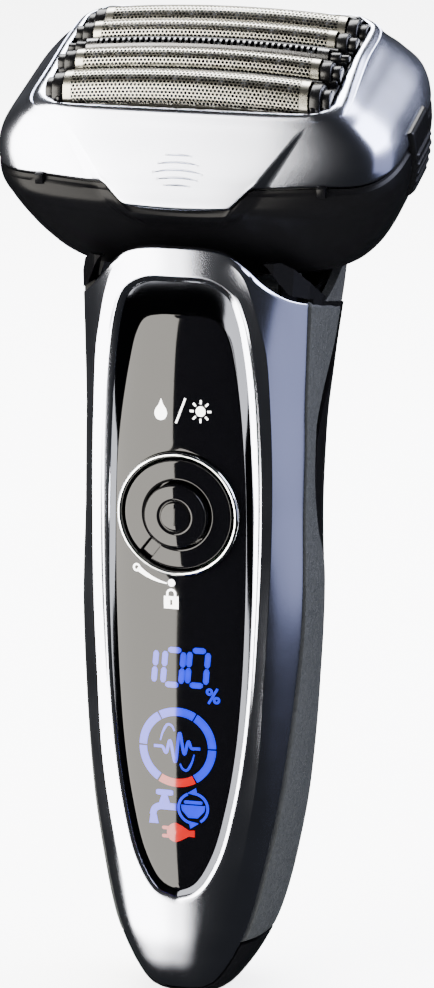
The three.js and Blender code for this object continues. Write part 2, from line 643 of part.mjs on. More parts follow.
// A rectangle with cut corners, upright in the head's frame: the cassette's plan and the opening round it.
const cutRectangle = (halfX, halfY, cut, z0, z1) => {
  const corner = [
    [halfX, halfY - cut],
    [halfX - cut, halfY],
  ];
  const back = [...corner, ...corner.toReversed().map(([x, y]) => [-x, y])];
  const outline = [...back, ...back.toReversed().map(([x, y]) => [x, -y])];
  return solid(new THREE.ExtrudeGeometry(shapeOf(outline), { depth: z1 - z0, bevelEnabled: false }).translate(0, 0, z0));
};
const cassetteHole = cutRectangle(
  CASSETTE.halfX + GAP,
  CASSETTE.halfY + GAP,
  CASSETTE.chamfer,
  CASSETTE.bottom - GAP,
  FAR,
);
const foilFrame = headForm
  .subtract(headInner)
  .intersect(aboveChin(0))
  .intersect(belowRim)
  .subtract(bothPockets)
  .subtract(cassetteHole);

function headBase() {
  const shellBody = headForm
    .subtract(headInner)
    .subtract(aboveChin(-GAP))
    .intersect(box(-FAR, FAR, -FAR, FAR, HEAD.bottom, FAR));
  const floor = headForm.intersect(box(-FAR, FAR, -FAR, FAR, HEAD.floor, HEAD.floorTop));
  const lug = (side) =>
    box(
      side * GIMBAL.lug - 1.2,
      side * GIMBAL.lug + 1.2,
      -2.2,
      2.2,
      GIMBAL.z - 1.9,
      HEAD.floor + 0.5,
    );
  return joined([shellBody, floor, lug(-1), lug(1)])
    .subtract(cylinderX(GIMBAL.pin + 0.25, 0, GIMBAL.z, -GIMBAL.lug - 1.3, GIMBAL.lug + 1.3, 14))
    .subtract(bothPockets);
}
place(head, "head_base", headBase(), BLACK_SATIN);
place(head, "foil_frame", foilFrame, SILVER);
const buttonShell = loft(headRows(-RELEASE.proud), HEAD.segments).subtract(loft(headRows(RELEASE.depth - RELEASE.proud), HEAD.segments));
pocketOf(0).forEach((zone, i) =>
  place(head, `release_button_${["left", "right"][i]}`, buttonShell.intersect(zone), GREY_PLASTIC),
);

// ---------------------------------------------------------------- motor, deck and movers
const motorZ = HEAD.floorTop + GAP;
const stator = joined([
  box(-MOTOR.coreX, MOTOR.coreX, -MOTOR.coreY, MOTOR.coreY, motorZ, motorZ + 1),
  ...[-1, 0, 1].map((i) => box(i * 7.4 - 1.6, i * 7.4 + 1.6, -MOTOR.coreY, MOTOR.coreY, motorZ, motorZ + 3.4)),
]);
const coil = box(-4.6, 4.6, -MOTOR.coreY - 2, MOTOR.coreY + 2, motorZ + 1 + GAP, motorZ + 3)
  .subtract(box(-1.6 - GAP, 1.6 + GAP, -MOTOR.coreY - GAP, MOTOR.coreY + GAP, -FAR, FAR));
place(head, "stator_core", stator, IRON);
place(head, "stator_coil", coil, COPPER);
const postSpots = {
  front: [
    [-6, -OUTER_FOIL.y],
    [6, -OUTER_FOIL.y],
    [-6, -MID_FOIL.y],
    [6, -MID_FOIL.y],
  ],
  rear: [
    [-6, OUTER_FOIL.y],
    [6, OUTER_FOIL.y],
    [-6, MID_FOIL.y],
    [6, MID_FOIL.y],
    [0, 0],
  ],
};
const postTop = BLADE.base + 0.3;
function mover(spots, y0, y1) {
  return joined([
    box(-MOVER.halfX, MOVER.halfX, y0, y1, MOVER.z, MOVER.z + MOVER.thickness),
    ...[-8, 8].map((x) => box(x - 2.4, x + 2.4, y0 + 1.4, y1 - 1.4, MOVER.z - MOVER.magnet, MOVER.z + 0.1)),
    ...spots.map(([x, y]) => cylinderZ(MOVER.post, x, y, MOVER.z + 0.2, postTop, 12)),
  ]);
}
const rearExtra = box(-2.2, 2.2, -1.3, 4, MOVER.z, MOVER.z + MOVER.thickness);
const moverFront = mover(postSpots.front, -13, -2.2);
const moverRear = mover(postSpots.rear, 2.2, 13).add(rearExtra);
place(head, "mover_front", moverFront, GREY_PLASTIC);
place(head, "mover_rear", moverRear, GREY_PLASTIC);
const slotClear = BLADE.stroke + 0.5;
const slots = joined(
  [...postSpots.front, ...postSpots.rear].map(([x, y]) =>
    box(
      x - MOVER.post - slotClear,
      x + MOVER.post + slotClear,
      y - MOVER.post - 0.35,
      y + MOVER.post + 0.35,
      DECK.z - 1,
      DECK.z + DECK.thickness + 1,
    ),
  ),
);
const deckRows = headRows(HEAD.wall + GAP);
const deck = loft(deckRows, HEAD.segments)
  .intersect(box(-FAR, FAR, -FAR, FAR, DECK.z, DECK.z + DECK.thickness))
  .subtract(slots)
  .subtract(joined(pocketOf(1.8)));
place(head, "drive_deck", deck, RUBBER);

// ---------------------------------------------------------------- the cutting cassette
const C = CASSETTE;
const rows5 = [
  { name: "foil_front", y: -OUTER_FOIL.y, half: OUTER_FOIL.halfWidth, crown: FOIL.crown - 0.3 },
  { name: "foil_mid_front", y: -MID_FOIL.y, half: MID_FOIL.halfWidth, crown: FOIL.crown + 0.4 },
  { name: "foil_mid_rear", y: MID_FOIL.y, half: MID_FOIL.halfWidth, crown: FOIL.crown + 0.4 },
  { name: "foil_rear", y: OUTER_FOIL.y, half: OUTER_FOIL.halfWidth, crown: FOIL.crown - 0.3 },
];
const rowGap = 0.35; // between a foil and the cassette's bars
// Two side rails and two end blocks, with thin bars between the rows of foils.
const plan = cutRectangle(C.halfX, C.halfY, C.chamfer, C.bottom, 22.8);
const ends = [-1, 1].map((side) =>
  plan.intersect(box(side < 0 ? -FAR : C.endX, side < 0 ? -C.endX : FAR, -FAR, FAR, -FAR, FAR)),
);
const rails = [-1, 1].map((side) =>
  plan.intersect(
    box(-FAR, FAR, side < 0 ? -FAR : C.halfY - C.wall, side < 0 ? -C.halfY + C.wall : FAR, -FAR, C.railTop),
  ),
);
const betweenRows = [
  [-OUTER_FOIL.y + OUTER_FOIL.halfWidth + rowGap, -MID_FOIL.y - MID_FOIL.halfWidth - rowGap],
  [-MID_FOIL.y + MID_FOIL.halfWidth + rowGap, -SLIT.halfWidth - rowGap],
];
const bars = betweenRows.flatMap(([y0, y1]) => [
  box(-C.endX - 0.5, C.endX + 0.5, y0, y1, 21, 22.4),
  box(-C.endX - 0.5, C.endX + 0.5, -y1, -y0, 21, 22.4),
]);
place(head, "foil_cassette", joined([...ends, ...rails, ...bars]), BLACK_SATIN);

// A sheet bent over a row: arched on top, with straight skirts, bowed a little along its length.
function arch(row, inset, halfLength, lengthSteps, arcSteps, skirt) {
  const thickness = FOIL.sheet;
  const geometry = new THREE.BoxGeometry(2 * halfLength, 2, thickness, lengthSteps, arcSteps, 1);
  const position = geometry.getAttribute("position");
  const half = row.half - inset;
  const height = half * 1.15;
  for (let i = 0; i < position.count; i++) {
    const x = position.getX(i);
    const u = position.getY(i);
    const within = position.getZ(i) < 0 ? thickness : 0;
    const turn = THREE.MathUtils.clamp(u / 0.76, -1, 1) * (Math.PI / 2);
    const drop = Math.max(0, Math.abs(u) - 0.76) / 0.24;
    const sag = FOIL.bow * (x / FOIL.halfLength) ** 2;
    const z = row.crown - inset - height + (height - within) * Math.cos(turn) - drop * (skirt - height);
    position.setXYZ(i, x, row.y + (half - within) * Math.sin(turn), z - sag);
  }
  return solid(geometry);
}
for (const row of rows5) {
  place(head, row.name, arch(row, 0, FOIL.halfLength, 4, 12, FOIL.skirt), FOIL_STEEL);
}
const slitRow = { y: 0, half: SLIT.halfWidth, crown: SLIT.crown };
const slitX = (i) => THREE.MathUtils.lerp(-16.5, 16.5, i / (SLIT.teeth - 1));
const slits = joined(
  Array.from({ length: SLIT.teeth }, (_, i) =>
    box(slitX(i) - 0.35, slitX(i) + 0.35, -0.95, 0.95, SLIT.crown - 3, SLIT.crown + 2),
  ),
);
place(head, "slit_comb", arch(slitRow, 0, FOIL.halfLength, 4, 6, FOIL.skirt).subtract(slits), FOIL_STEEL);

// An inner blade: a row of arched teeth on a base bar, with sockets for the mover's posts.
function blade(row, spots, teeth, hub = []) {
  const inset = FOIL.sheet + 0.3;
  const half = row.half - inset;
  const height = half * 1.15;
  const crown = row.crown - inset;
  const profile = [];
  for (let i = 0; i <= 6; i++) {
    const turn = (Math.PI / 2) * (i / 3 - 1);
    profile.push([row.y + half * Math.sin(turn), crown - height + height * Math.cos(turn)]);
  }
  const base = BLADE.base;
  const pieces = [
    box(-BLADE.halfLength, BLADE.halfLength, row.y - half, row.y + half, base, base + BLADE.baseHeight),
  ];
  for (let i = 0; i < teeth; i++) {
    const x = THREE.MathUtils.lerp(-BLADE.halfLength + 0.6, BLADE.halfLength - 0.6, i / (teeth - 1));
    const sag = FOIL.bow * (x / FOIL.halfLength) ** 2;
    const outline = [
      [row.y + half * 0.7, base + 1],
      ...profile.toReversed().map(([y, z]) => [y, z - sag - 0.05]),
      [row.y - half * 0.7, base + 1],
    ];
    pieces.push(prismX(outline.toReversed(), x - BLADE.tooth / 2, x + BLADE.tooth / 2));
  }
  let made = joined([...pieces, ...hub]);
  for (const [x, y] of spots.filter((spot) => Math.abs(spot[1] - row.y) < 1)) {
    made = made.subtract(cylinderZ(MOVER.post + 0.12, x, y, base - 1, postTop + FOIL.travel + 0.2, 12));
  }
  return made;
}
const allSpots = [...postSpots.front, ...postSpots.rear];
const slitHub = box(-2.4, 2.4, -2, 2, BLADE.base, BLADE.base + BLADE.baseHeight + 1);
for (const row of rows5) {
  place(head, row.name.replace("foil", "blade"), blade(row, allSpots, BLADE.teeth), BLADE_STEEL);
}
place(head, "slit_cutter", blade(slitRow, allSpots, BLADE.teeth, [slitHub]), BLADE_STEEL);

export default shaver;
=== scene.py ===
import math

import bpy
import numpy as np
from mathutils import Matrix, Vector


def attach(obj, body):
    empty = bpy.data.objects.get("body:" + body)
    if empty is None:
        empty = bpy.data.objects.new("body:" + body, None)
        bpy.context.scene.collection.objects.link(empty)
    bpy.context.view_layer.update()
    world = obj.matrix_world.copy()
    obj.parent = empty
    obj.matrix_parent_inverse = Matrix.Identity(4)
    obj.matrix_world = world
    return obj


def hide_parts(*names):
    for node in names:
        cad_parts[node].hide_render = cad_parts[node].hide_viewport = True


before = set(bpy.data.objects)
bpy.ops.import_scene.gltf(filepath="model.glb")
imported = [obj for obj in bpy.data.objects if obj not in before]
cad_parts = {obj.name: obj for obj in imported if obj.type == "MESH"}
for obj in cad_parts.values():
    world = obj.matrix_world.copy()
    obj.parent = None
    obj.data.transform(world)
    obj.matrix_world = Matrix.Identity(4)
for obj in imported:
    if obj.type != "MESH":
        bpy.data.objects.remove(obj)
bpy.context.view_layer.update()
MM = 0.001

# ------------------------------------------------------------------ camera, floor and studio light
# A long lens from a little above and to the right of the front, a pale floor, one tall soft light on
# the left whose edge shows as a sharp line in the gloss, and weaker fill from the right and above.
AZIMUTH, ELEVATION, DISTANCE = math.radians(17), math.radians(13), 900
AIM = Vector((0, 13.4, 81)) * MM
back = Vector(
    (
        math.sin(AZIMUTH) * math.cos(ELEVATION),
        -math.cos(AZIMUTH) * math.cos(ELEVATION),
        math.sin(ELEVATION),
    )
)
bpy.ops.object.select_all(action="DESELECT")
bpy.ops.object.camera_add(location=AIM + back * DISTANCE * MM)
camera = bpy.context.object
camera.name = "camera"
camera.rotation_mode = "QUATERNION"
camera.rotation_quaternion = (-back).to_track_quat("-Z", "Y")
camera.data.lens = 196.4
camera.data.sensor_width = 36
camera.data.clip_start, camera.data.clip_end = 0.05, 20
bpy.context.scene.camera = camera


def linear(colour):
    """sRGB hex, such as "#8a8f96", as the linear RGBA that shaders take."""
    parts = [int(colour[i : i + 2], 16) / 255 for i in (1, 3, 5)]
    return (*[c / 12.92 if c <= 0.04045 else ((c + 0.055) / 1.055) ** 2.4 for c in parts], 1)


def add_node(tree, kind, inputs=None, **settings):
    """Adds a node; inputs maps a socket's name or number to a value or to another node's output."""
    node = tree.nodes.new(kind)
    for key, value in settings.items():
        setattr(node, key, value)
    for key, value in (inputs or {}).items():
        if isinstance(value, bpy.types.NodeSocket):
            tree.links.new(value, node.inputs[key])
        else:
            node.inputs[key].default_value = value
    return node


def new_material(name, **sockets):
    """A principled material with constants on its own sockets; returns it with its tree and shader."""
    material = bpy.data.materials.new(name)
    material.use_nodes = True
    shader = material.node_tree.nodes["Principled BSDF"]
    for key, value in sockets.items():
        shader.inputs[key.replace("_", " ")].default_value = value
    return material, material.node_tree, shader


bpy.ops.mesh.primitive_plane_add(size=6, location=(0, 0, -0.0002))
floor = bpy.context.object
floor.name = "floor"
floor.visible_glossy = False
paper, _, _ = new_material(
    "matt_white_paper", Base_Color=linear("#f4f4f4"), Roughness=0.9, Emission_Strength=3.2
)
paper.node_tree.nodes["Principled BSDF"].inputs["Emission Color"].default_value = linear("#ffffff")
floor.data.materials.append(paper)


def soft_light(name, place, aim, width, height, power, colour="#ffffff"):
    bpy.ops.object.light_add(type="AREA", location=Vector(place) * MM)
    light = bpy.context.object
    light.name = name
    light.data.shape = "RECTANGLE"
    light.data.size, light.data.size_y = width * MM, height * MM
    light.data.energy = power
    light.data.color = linear(colour)[:3]
    light.rotation_mode = "QUATERNION"
    light.rotation_quaternion = (Vector(aim) * MM - Vector(place) * MM).to_track_quat("-Z", "Y")
    return light


soft_light("soft_left", (-649, -609, 60), (0, 0, 80), 1000, 1200, 75, "#fffaf0")
soft_light("soft_right", (800, 290, 170), (0, 10, 170), 860, 640, 1.5, "#cdd3ff")
soft_light("soft_right_high", (700, 300, 560), (0, 10, 150), 760, 620, 22, "#e2e6ff")
soft_light("soft_top", (-180, 420, 880), (0, 10, 130), 700, 600, 30)

world = bpy.data.worlds.new("studio")
bpy.context.scene.world = world
world.use_nodes = True
sky = world.node_tree
sky.nodes.clear()
rays = add_node(sky, "ShaderNodeLightPath")
dim = add_node(sky, "ShaderNodeBackground", {"Color": linear("#dfe3ea"), "Strength": 0.03})
pale = add_node(sky, "ShaderNodeBackground", {"Color": linear("#ffffff"), "Strength": 3.0})
lit = add_node(
    sky, "ShaderNodeMath", {0: rays.outputs["Is Glossy Ray"], 1: 0.5}, operation="LESS_THAN"
)
blend = add_node(
    sky, "ShaderNodeMixShader", {0: lit.outputs[0], 1: dim.outputs[0], 2: pale.outputs[0]}
)
add_node(sky, "ShaderNodeOutputWorld", {"Surface": blend.outputs[0]})

# ------------------------------------------------------------------ plated front panel
# The handle's face is one ABS moulding, chrome-nickel plated and satin: it rings the window, folds
# round into two side wings and ends in a crown under the head. Its rims roll over into the shell.
STATIONS = np.array(
    [  # height, half-width, front, back, and the Y of the widest line
        [0.0, 5.9, -5.6, 8.6, 1.6],
        [1.0, 7.15, -7.0, 9.6, 2.0],
        [2.8, 8.6, -8.2, 10.6, 2.6],
        [6.5, 10.95, -9.0, 12.0, 3.6],
        [12.5, 13.6, -9.6, 15.5, 4.8],
        [21.0, 15.65, -9.7, 19.0, 5.8],
        [34.0, 17.8, -9.5, 21.3, 6.4],
        [50.0, 19.1, -9.3, 22.4, 6.8],
        [66.0, 19.75, -9.2, 23.0, 7.2],
        [84.0, 19.3, -9.2, 23.8, 7.8],
        [97.0, 19.4, -9.3, 24.9, 9.6],
        [108.0, 20.0, -9.4, 27.2, 12.4],
        [118.0, 20.75, -9.5, 30.2, 15.6],
        [124.0, 21.15, -9.5, 32.0, 17.0],
        [138.0, 21.5, -9.3, 34.0, 18.0],
    ]
)
HEIGHTS = np.arange(0, 130.01, 0.25)


def smooth(x, xs, ys):
    """A curve through the stations that never overshoots them."""
    slopes = np.diff(ys) / np.diff(xs)
    tangents = np.zeros_like(ys)
    same = slopes[1:] * slopes[:-1] > 0
    tangents[1:-1][same] = 2 * slopes[1:][same] * slopes[:-1][same] / (slopes[1:] + slopes[:-1])[same]
    tangents[0], tangents[-1] = slopes[0], slopes[-1]
    i = np.clip(np.searchsorted(xs, x, side="right") - 1, 0, len(xs) - 2)
    h = xs[i + 1] - xs[i]
    t = np.clip((x - xs[i]) / h, 0, 1)
    return (
        (1 + 2 * t) * (1 - t) ** 2 * ys[i]
        + t * (1 - t) ** 2 * h * tangents[i]
        + t * t * (3 - 2 * t) * ys[i + 1]
        + t * t * (t - 1) * h * tangents[i + 1]
    )


ROUND = np.linspace(0, 1, 361)  # shares of the way round a section, from front centre to back centre
turns = -np.pi / 2 + np.pi * np.linspace(0, 1, 1441)
SECTION_X, SECTION_Y, SECTION_LENGTH = [], [], []
for z in HEIGHTS:
    half, front, rear, mid = (smooth(z, STATIONS[:, 0], STATIONS[:, k]) for k in (1, 2, 3, 4))
    c, s = np.cos(turns), np.sin(turns)
    power = np.where(s < 0, 2.9, 2.3)
    reach = np.where(s < 0, mid - front, rear - mid)
    x = half * np.abs(c) ** (2 / power)
    y = mid + reach * np.sign(s) * np.abs(s) ** (2 / power)
    run = np.concatenate([[0], np.cumsum(np.hypot(np.diff(x), np.diff(y)))])
    SECTION_LENGTH.append(run[-1])
    SECTION_X.append(np.interp(ROUND, run / run[-1], x))
    SECTION_Y.append(np.interp(ROUND, run / run[-1], y))
SECTION_X, SECTION_Y = np.array(SECTION_X), np.array(SECTION_Y)
SECTION_LENGTH = np.array(SECTION_LENGTH)


def on_handle(s, z):
    """Points on the handle's outer form, s millimetres round from the front's centre, at height z."""
    s, z = np.broadcast_arrays(np.asarray(s, float), np.asarray(z, float))
    row = np.clip(z / 0.25, 0, len(HEIGHTS) - 1.001)
    i, f = row.astype(int), row - row.astype(int)
    length = SECTION_LENGTH[i] * (1 - f) + SECTION_LENGTH[i + 1] * f
    col = np.clip(np.abs(s) / length, 0, 1) * (len(ROUND) - 1.001)
    j, g = col.astype(int), col - col.astype(int)

    def read(table):
        low = table[i, j] * (1 - g) + table[i, j + 1] * g
        high = table[i + 1, j] * (1 - g) + table[i + 1, j + 1] * g
        return low * (1 - f) + high * f

    return np.stack([np.sign(s) * read(SECTION_X), read(SECTION_Y), z], -1)


def set_in(s, z, depth):
    """The same point sunk by depth along the form's inward normal."""
    here = on_handle(s, z)
    d = 0.4
    round_way = on_handle(s + d, z) - on_handle(s - d, z)
    up_way = on_handle(s, z + d) - on_handle(s, np.maximum(z - d, 0))
    outward = np.cross(round_way, up_way)
    outward /= np.linalg.norm(outward, axis=-1, keepdims=True)
    return here - outward * np.asarray(depth, float)[..., None]


def round_at_y(y, z):
    """How far round the right side the form reaches a depth y, at height z."""
    i = np.clip(np.round(np.asarray(z) / 0.25).astype(int), 0, len(HEIGHTS) - 1)
    found = [np.interp(yy, SECTION_Y[k], ROUND) * SECTION_LENGTH[k] for yy, k in np.nditer([y, i])]
    return np.array(found).reshape(np.shape(z))


def round_at_x(x, z):
    """How far round the front the form reaches a half-width x, at height z."""
    i = np.clip(np.round(np.asarray(z) / 0.25).astype(int), 0, len(HEIGHTS) - 1)
    found = []
    for xx, k in np.nditer([x, i]):
        rising = slice(0, int(np.argmax(SECTION_X[k])) + 1)
        found.append(
            np.sign(xx) * np.interp(abs(xx), SECTION_X[k][rising], ROUND[rising]) * SECTION_LENGTH[k]
        )
    return np.array(found).reshape(np.shape(z))


def sheet_of(name, points, close_round=False, close_through=False):
    """A quilt of quads: a grid primitive whose rows and columns are laid on the given points, in mm."""
    points = np.asarray(points, float)
    if close_round:
        points = np.concatenate([points, points[:, :1]], 1)
    if close_through:
        points = np.concatenate([points, points[:1]], 0)
    rows, columns = points.shape[:2]
    bpy.ops.object.select_all(action="DESELECT")
    bpy.ops.mesh.primitive_grid_add(x_subdivisions=columns - 1, y_subdivisions=rows - 1, size=1)
    piece = bpy.context.object
    piece.name = name
    piece.data.name = name
    piece.data.vertices.foreach_set("co", (points * MM).astype(np.float32).ravel())
    bpy.ops.object.mode_set(mode="EDIT")
    bpy.ops.mesh.select_all(action="SELECT")
    bpy.ops.mesh.remove_doubles(threshold=0.000004)
    bpy.ops.mesh.normals_make_consistent(inside=False)
    bpy.ops.object.mode_set(mode="OBJECT")
    bpy.ops.object.shade_smooth()
    return piece


def modify(piece, kind, **settings):
    """Adds a modifier and applies it at once."""
    bpy.ops.object.select_all(action="DESELECT")
    piece.select_set(True)
    bpy.context.view_layer.objects.active = piece
    modifier = piece.modifiers.new(kind.lower(), kind)
    for key, value in settings.items():
        setattr(modifier, key, value)
    bpy.ops.object.modifier_apply(modifier=modifier.name)


def softened(piece, angle=40):
    """Smooth shading, with a hard line only where faces meet more steeply than angle."""
    bpy.ops.object.select_all(action="DESELECT")
    piece.select_set(True)
    bpy.context.view_layer.objects.active = piece
    bpy.ops.object.shade_smooth_by_angle(angle=math.radians(angle))


WING = np.array([[-4, -7.4], [3, -6.6], [24, -4.6], [58, -0.8], [92, 1.6], [150, 1.6]])


def wing_y(z):
    return np.interp(z, WING[:, 0], WING[:, 1])


def rounded_line(points, count=1500):
    """A curve through the points, as even steps along it."""
    points = np.asarray(points, float)
    ends = np.concatenate([[2 * points[0] - points[1]], points, [2 * points[-1] - points[-2]]])
    knots = np.concatenate([[0], np.cumsum(np.linalg.norm(np.diff(ends, axis=0), axis=1) ** 0.5)])
    t = np.concatenate(
        [np.linspace(knots[i], knots[i + 1], 60, endpoint=False) for i in range(1, len(points))]
    )
    i = np.clip(np.searchsorted(knots, t, side="right") - 1, 1, len(points) - 1)

    def between(a, b, ta, tb):
        w = ((t - ta) / (tb - ta))[:, None]
        return a * (1 - w) + b * w

    k0, k1, k2, k3 = (knots[i + j] for j in (-1, 0, 1, 2))
    p0, p1, p2, p3 = (ends[i + j] for j in (-1, 0, 1, 2))
    a1, a2, a3 = between(p0, p1, k0, k1), between(p1, p2, k1, k2), between(p2, p3, k2, k3)
    b1, b2 = between(a1, a2, k0, k2), between(a2, a3, k1, k3)
    return spread(np.concatenate([between(b1, b2, k1, k2), points[-1:]]), count)


def spread(line, count):
    """The same line in count evenly spaced points."""
    run = np.concatenate([[0], np.cumsum(np.linalg.norm(np.diff(line, axis=0), axis=1))])
    steps = np.linspace(0, run[-1], count)
    return np.stack([np.interp(steps, run, line[:, k]) for k in range(line.shape[1])], -1)


def in_spans(line, heights, counts):
    """Splits a line that climbs from the foot at the given heights and spreads each span evenly."""
    cuts = [0] + [int(np.argmax(line[:, 1] >= h)) for h in heights] + [len(line) - 1]
    spans = [spread(line[a : b + 1], n + 1)[:-1] for a, b, n in zip(cuts, cuts[1:], counts)]
    return np.concatenate(spans + [line[-1:]])


def both_sides(right):
    """A ring from its right half, which runs up from the foot's centre line to the top's."""
    return np.concatenate([right, (right * [-1, 1])[-2:0:-1]])


def ring_normals(ring):
    along = np.roll(ring, -1, 0) - np.roll(ring, 1, 0)
    normals = np.stack([along[:, 1], -along[:, 0]], -1)
    return normals / np.linalg.norm(normals, axis=1, keepdims=True)


def to_round(line):
    """From x and z, as seen from the front, to millimetres round the form and z."""
    return np.stack([round_at_x(line[:, 0], line[:, 1]), line[:, 1]], -1)


OPENING = [(0, 17.5), (3.3, 18.8), (6.7, 24), (9.2, 33), (10.7, 42), (11.7, 52), (12.3, 63), (12.6, 74)]
OPENING += [
    (12.55, 86), (12.2, 96), (11.7, 104), (10.9, 110.5), (10, 115), (8.4, 118.8), (5.2, 120.7), (0, 121)
]
GLASS = [(0, 18.4), (2.8, 19.7), (5.9, 24.8), (8.3, 33.4), (9.8, 42.3), (10.7, 52), (11.25, 63), (11.5, 74)]
GLASS += [
    (11.45, 86), (11.1, 94), (10.5, 101), (9.6, 107), (8.4, 111.6), (6.6, 114.3), (3.7, 115.1), (0, 115.2)
]
CROWN = [(19.2, 116.8), (16.8, 118.4), (13.9, 121.0), (11.2, 123.9), (8.4, 125.8), (5, 126.6), (0, 126.7)]
CREASE = [
    (0, 8), (3.6, 9.2), (7.4, 13), (10, 20), (12.1, 30), (13.5, 40), (14.3, 53), (15.0, 66), (15.5, 79)
]
CREASE += [
    (15.6, 90), (15.3, 100), (14.6, 109.4), (13.7, 113.5), (12.3, 119), (10.6, 123), (8, 124.9), (0, 126)
]
SPANS, COUNTS = (30, 108, 118.6), (34, 78, 22, 22)

opening = to_round(both_sides(in_spans(rounded_line(OPENING), SPANS, COUNTS)))
crease = both_sides(in_spans(rounded_line(CREASE), (27, 109, 120.5), COUNTS))
rise = np.concatenate([0.95 + 3 * np.linspace(0, 1, 60) ** 2, np.linspace(4, 116.6, 500)[1:]])
wing_edge = np.stack([round_at_y(wing_y(rise), rise), rise], -1)
wing_edge[0, 0] = 0
crown_edge = rounded_line(CROWN, 400)
crown_edge[:, 0] = round_at_x(crown_edge[:, 0], crown_edge[:, 1])
crown_edge[0] = wing_edge[-1] + [0, 0.25]
border = both_sides(in_spans(np.concatenate([wing_edge, crown_edge]), (24, 110, 121.5), COUNTS))
border[0] = border[0] * [0, 1]


def eased(x):
    x = np.clip(x, 0, 1)
    return x * x * (3 - 2 * x)


def recess_at(z):
    """How far the glass lies below the form: deeper under the crown."""
    return 1.0 + 1.7 * eased((z - 88) / 27)


# The opening's lip: a wall, a small roll, and a bevel that widens towards the crown.
lip = ring_normals(opening)
bevel = 0.3 + 0.5 * eased((opening[:, 1] - 55) / 45)
drop = 0.68 * bevel + 0.1
rows, depths = [], []
for out, deep in (
    (0 * bevel, 2.2 + 0 * bevel),
    (0 * bevel, drop + 0.3),
    (0.03 + 0 * bevel, drop + 0.1),
    (0.1 + 0 * bevel, drop),
    (0.1 + bevel / 2, drop - 0.34 * bevel),
    (0.1 + bevel, 0.1 + 0 * bevel),
    (0.22 + bevel, 0.035 + 0 * bevel),
    (0.4 + bevel, 0 * bevel),
):
    rows.append(opening + lip * out[:, None])
    depths.append(deep)

# From the lip to the crease and on to the outer border, swelling a little towards the crease.
swell = 0.7 * eased((crease[:, 1] - 14) / 34)
swell *= np.where(crease[:, 1] > 110, eased((np.abs(crease[:, 0]) - 8.5) / 3), 1)
first = rows[-1]
face = np.concatenate([np.linspace(0, 1, 13)[1:-1], [0.975, 1]])
for share in face:
    rows.append(first * (1 - share) + crease * share)
    depths.append(-swell * np.clip(1 - np.linalg.norm(rows[-1] - crease, axis=1) / 3.4, 0, 1) ** 2)
rim = ring_normals(border)
reach = np.minimum(0.6, 0.45 * np.linalg.norm(border - crease, axis=1))[:, None]
last = border - rim * reach
for share in np.concatenate([[0.02, 0.06], np.linspace(0.12, 1, 14)]):
    rows.append(crease * (1 - share) + last * share)
    depths.append(-swell * np.clip(1 - np.linalg.norm(rows[-1] - crease, axis=1) / 5.6, 0, 1) ** 2)
for back_off, deep in ((0.6, 0.02), (0.36, 0.06), (0.15, 0.18), (0.03, 0.36), (0, 0.6), (0, 1.9)):
    rows.append(border - rim * (reach * back_off))
    depths.append(np.full(len(border), deep))
for share in (0.2, 0.45, 0.7, 0.9):
    rows.append(border * (1 - share) + opening * share)
    depths.append(np.full(len(border), 1.9 + 0.3 * share))

panel = sheet_of(
    "front_panel_plated",
    [set_in(row[:, 0], row[:, 1], deep) for row, deep in zip(rows, depths)],
    close_round=True,
    close_through=True,
)
softened(panel, 50)

# Satin chrome over ABS: the plating copies a very fine blasted grain (0.12 mm, drawn at 0.25 mm), so
# highlights are broad and soft-edged but still bright.
satin, tree, shader = new_material(
    "satin_chrome_plated_abs", Base_Color=linear("#c6cad8"), Metallic=1.0, Roughness=0.2
)
coords = add_node(tree, "ShaderNodeTexCoord")
grain = add_node(
    tree, "ShaderNodeTexNoise", {"Vector": coords.outputs["Object"], "Scale": 4000, "Detail": 2.0}
)
bump = add_node(
    tree, "ShaderNodeBump", {"Height": grain.outputs["Fac"], "Strength": 0.06, "Distance": 0.00004}
)
cloud = add_node(
    tree, "ShaderNodeTexNoise", {"Vector": coords.outputs["Object"], "Scale": 90, "Detail": 3.0}
)
uneven = add_node(
    tree,
    "ShaderNodeMapRange",
    {"Value": cloud.outputs["Fac"], "From Min": 0.3, "From Max": 0.7, "To Min": 0.18, "To Max": 0.225},
)
tree.links.new(uneven.outputs["Result"], shader.inputs["Roughness"])
tree.links.new(bump.outputs["Normal"], shader.inputs["Normal"])
panel.data.materials.append(satin)
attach(panel, "handle")
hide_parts("front_panel")

# ------------------------------------------------------------------ window bezel
# A plated ring that slopes from the opening down to the glass, deepest under the crown. It is pressed
# in behind the panel and holds the glass.
glass_ring = to_round(both_sides(in_spans(rounded_line(GLASS), (30, 104, 112.6), COUNTS)))
inward = ring_normals(glass_ring)
low = drop + 0.22
glass_deep = recess_at(glass_ring[:, 1])
rows, depths = [], []
RECESS_CURVE = [(0, 0), (0.08, 0.06), (0.25, 0.2), (0.5, 0.46), (0.75, 0.74), (0.92, 0.93), (0.97, 1.02)]
for share, curve in RECESS_CURVE + [(1, 1.12)]:
    rows.append((opening + lip * 0.25) * (1 - share) + glass_ring * share)
    depths.append(low * (1 - curve) + (glass_deep + 0.05) * curve)
rows.append(glass_ring - inward * 0.4)
depths.append(glass_deep + 1.6)
rows.append(opening + lip * 0.25)
depths.append(np.maximum(low + 0.9, glass_deep + 0.4))
bezel = sheet_of(
    "window_bezel_plated",
    [set_in(row[:, 0], row[:, 1], deep) for row, deep in zip(rows, depths)],
    close_round=True,
    close_through=True,
)
softened(bezel, 50)

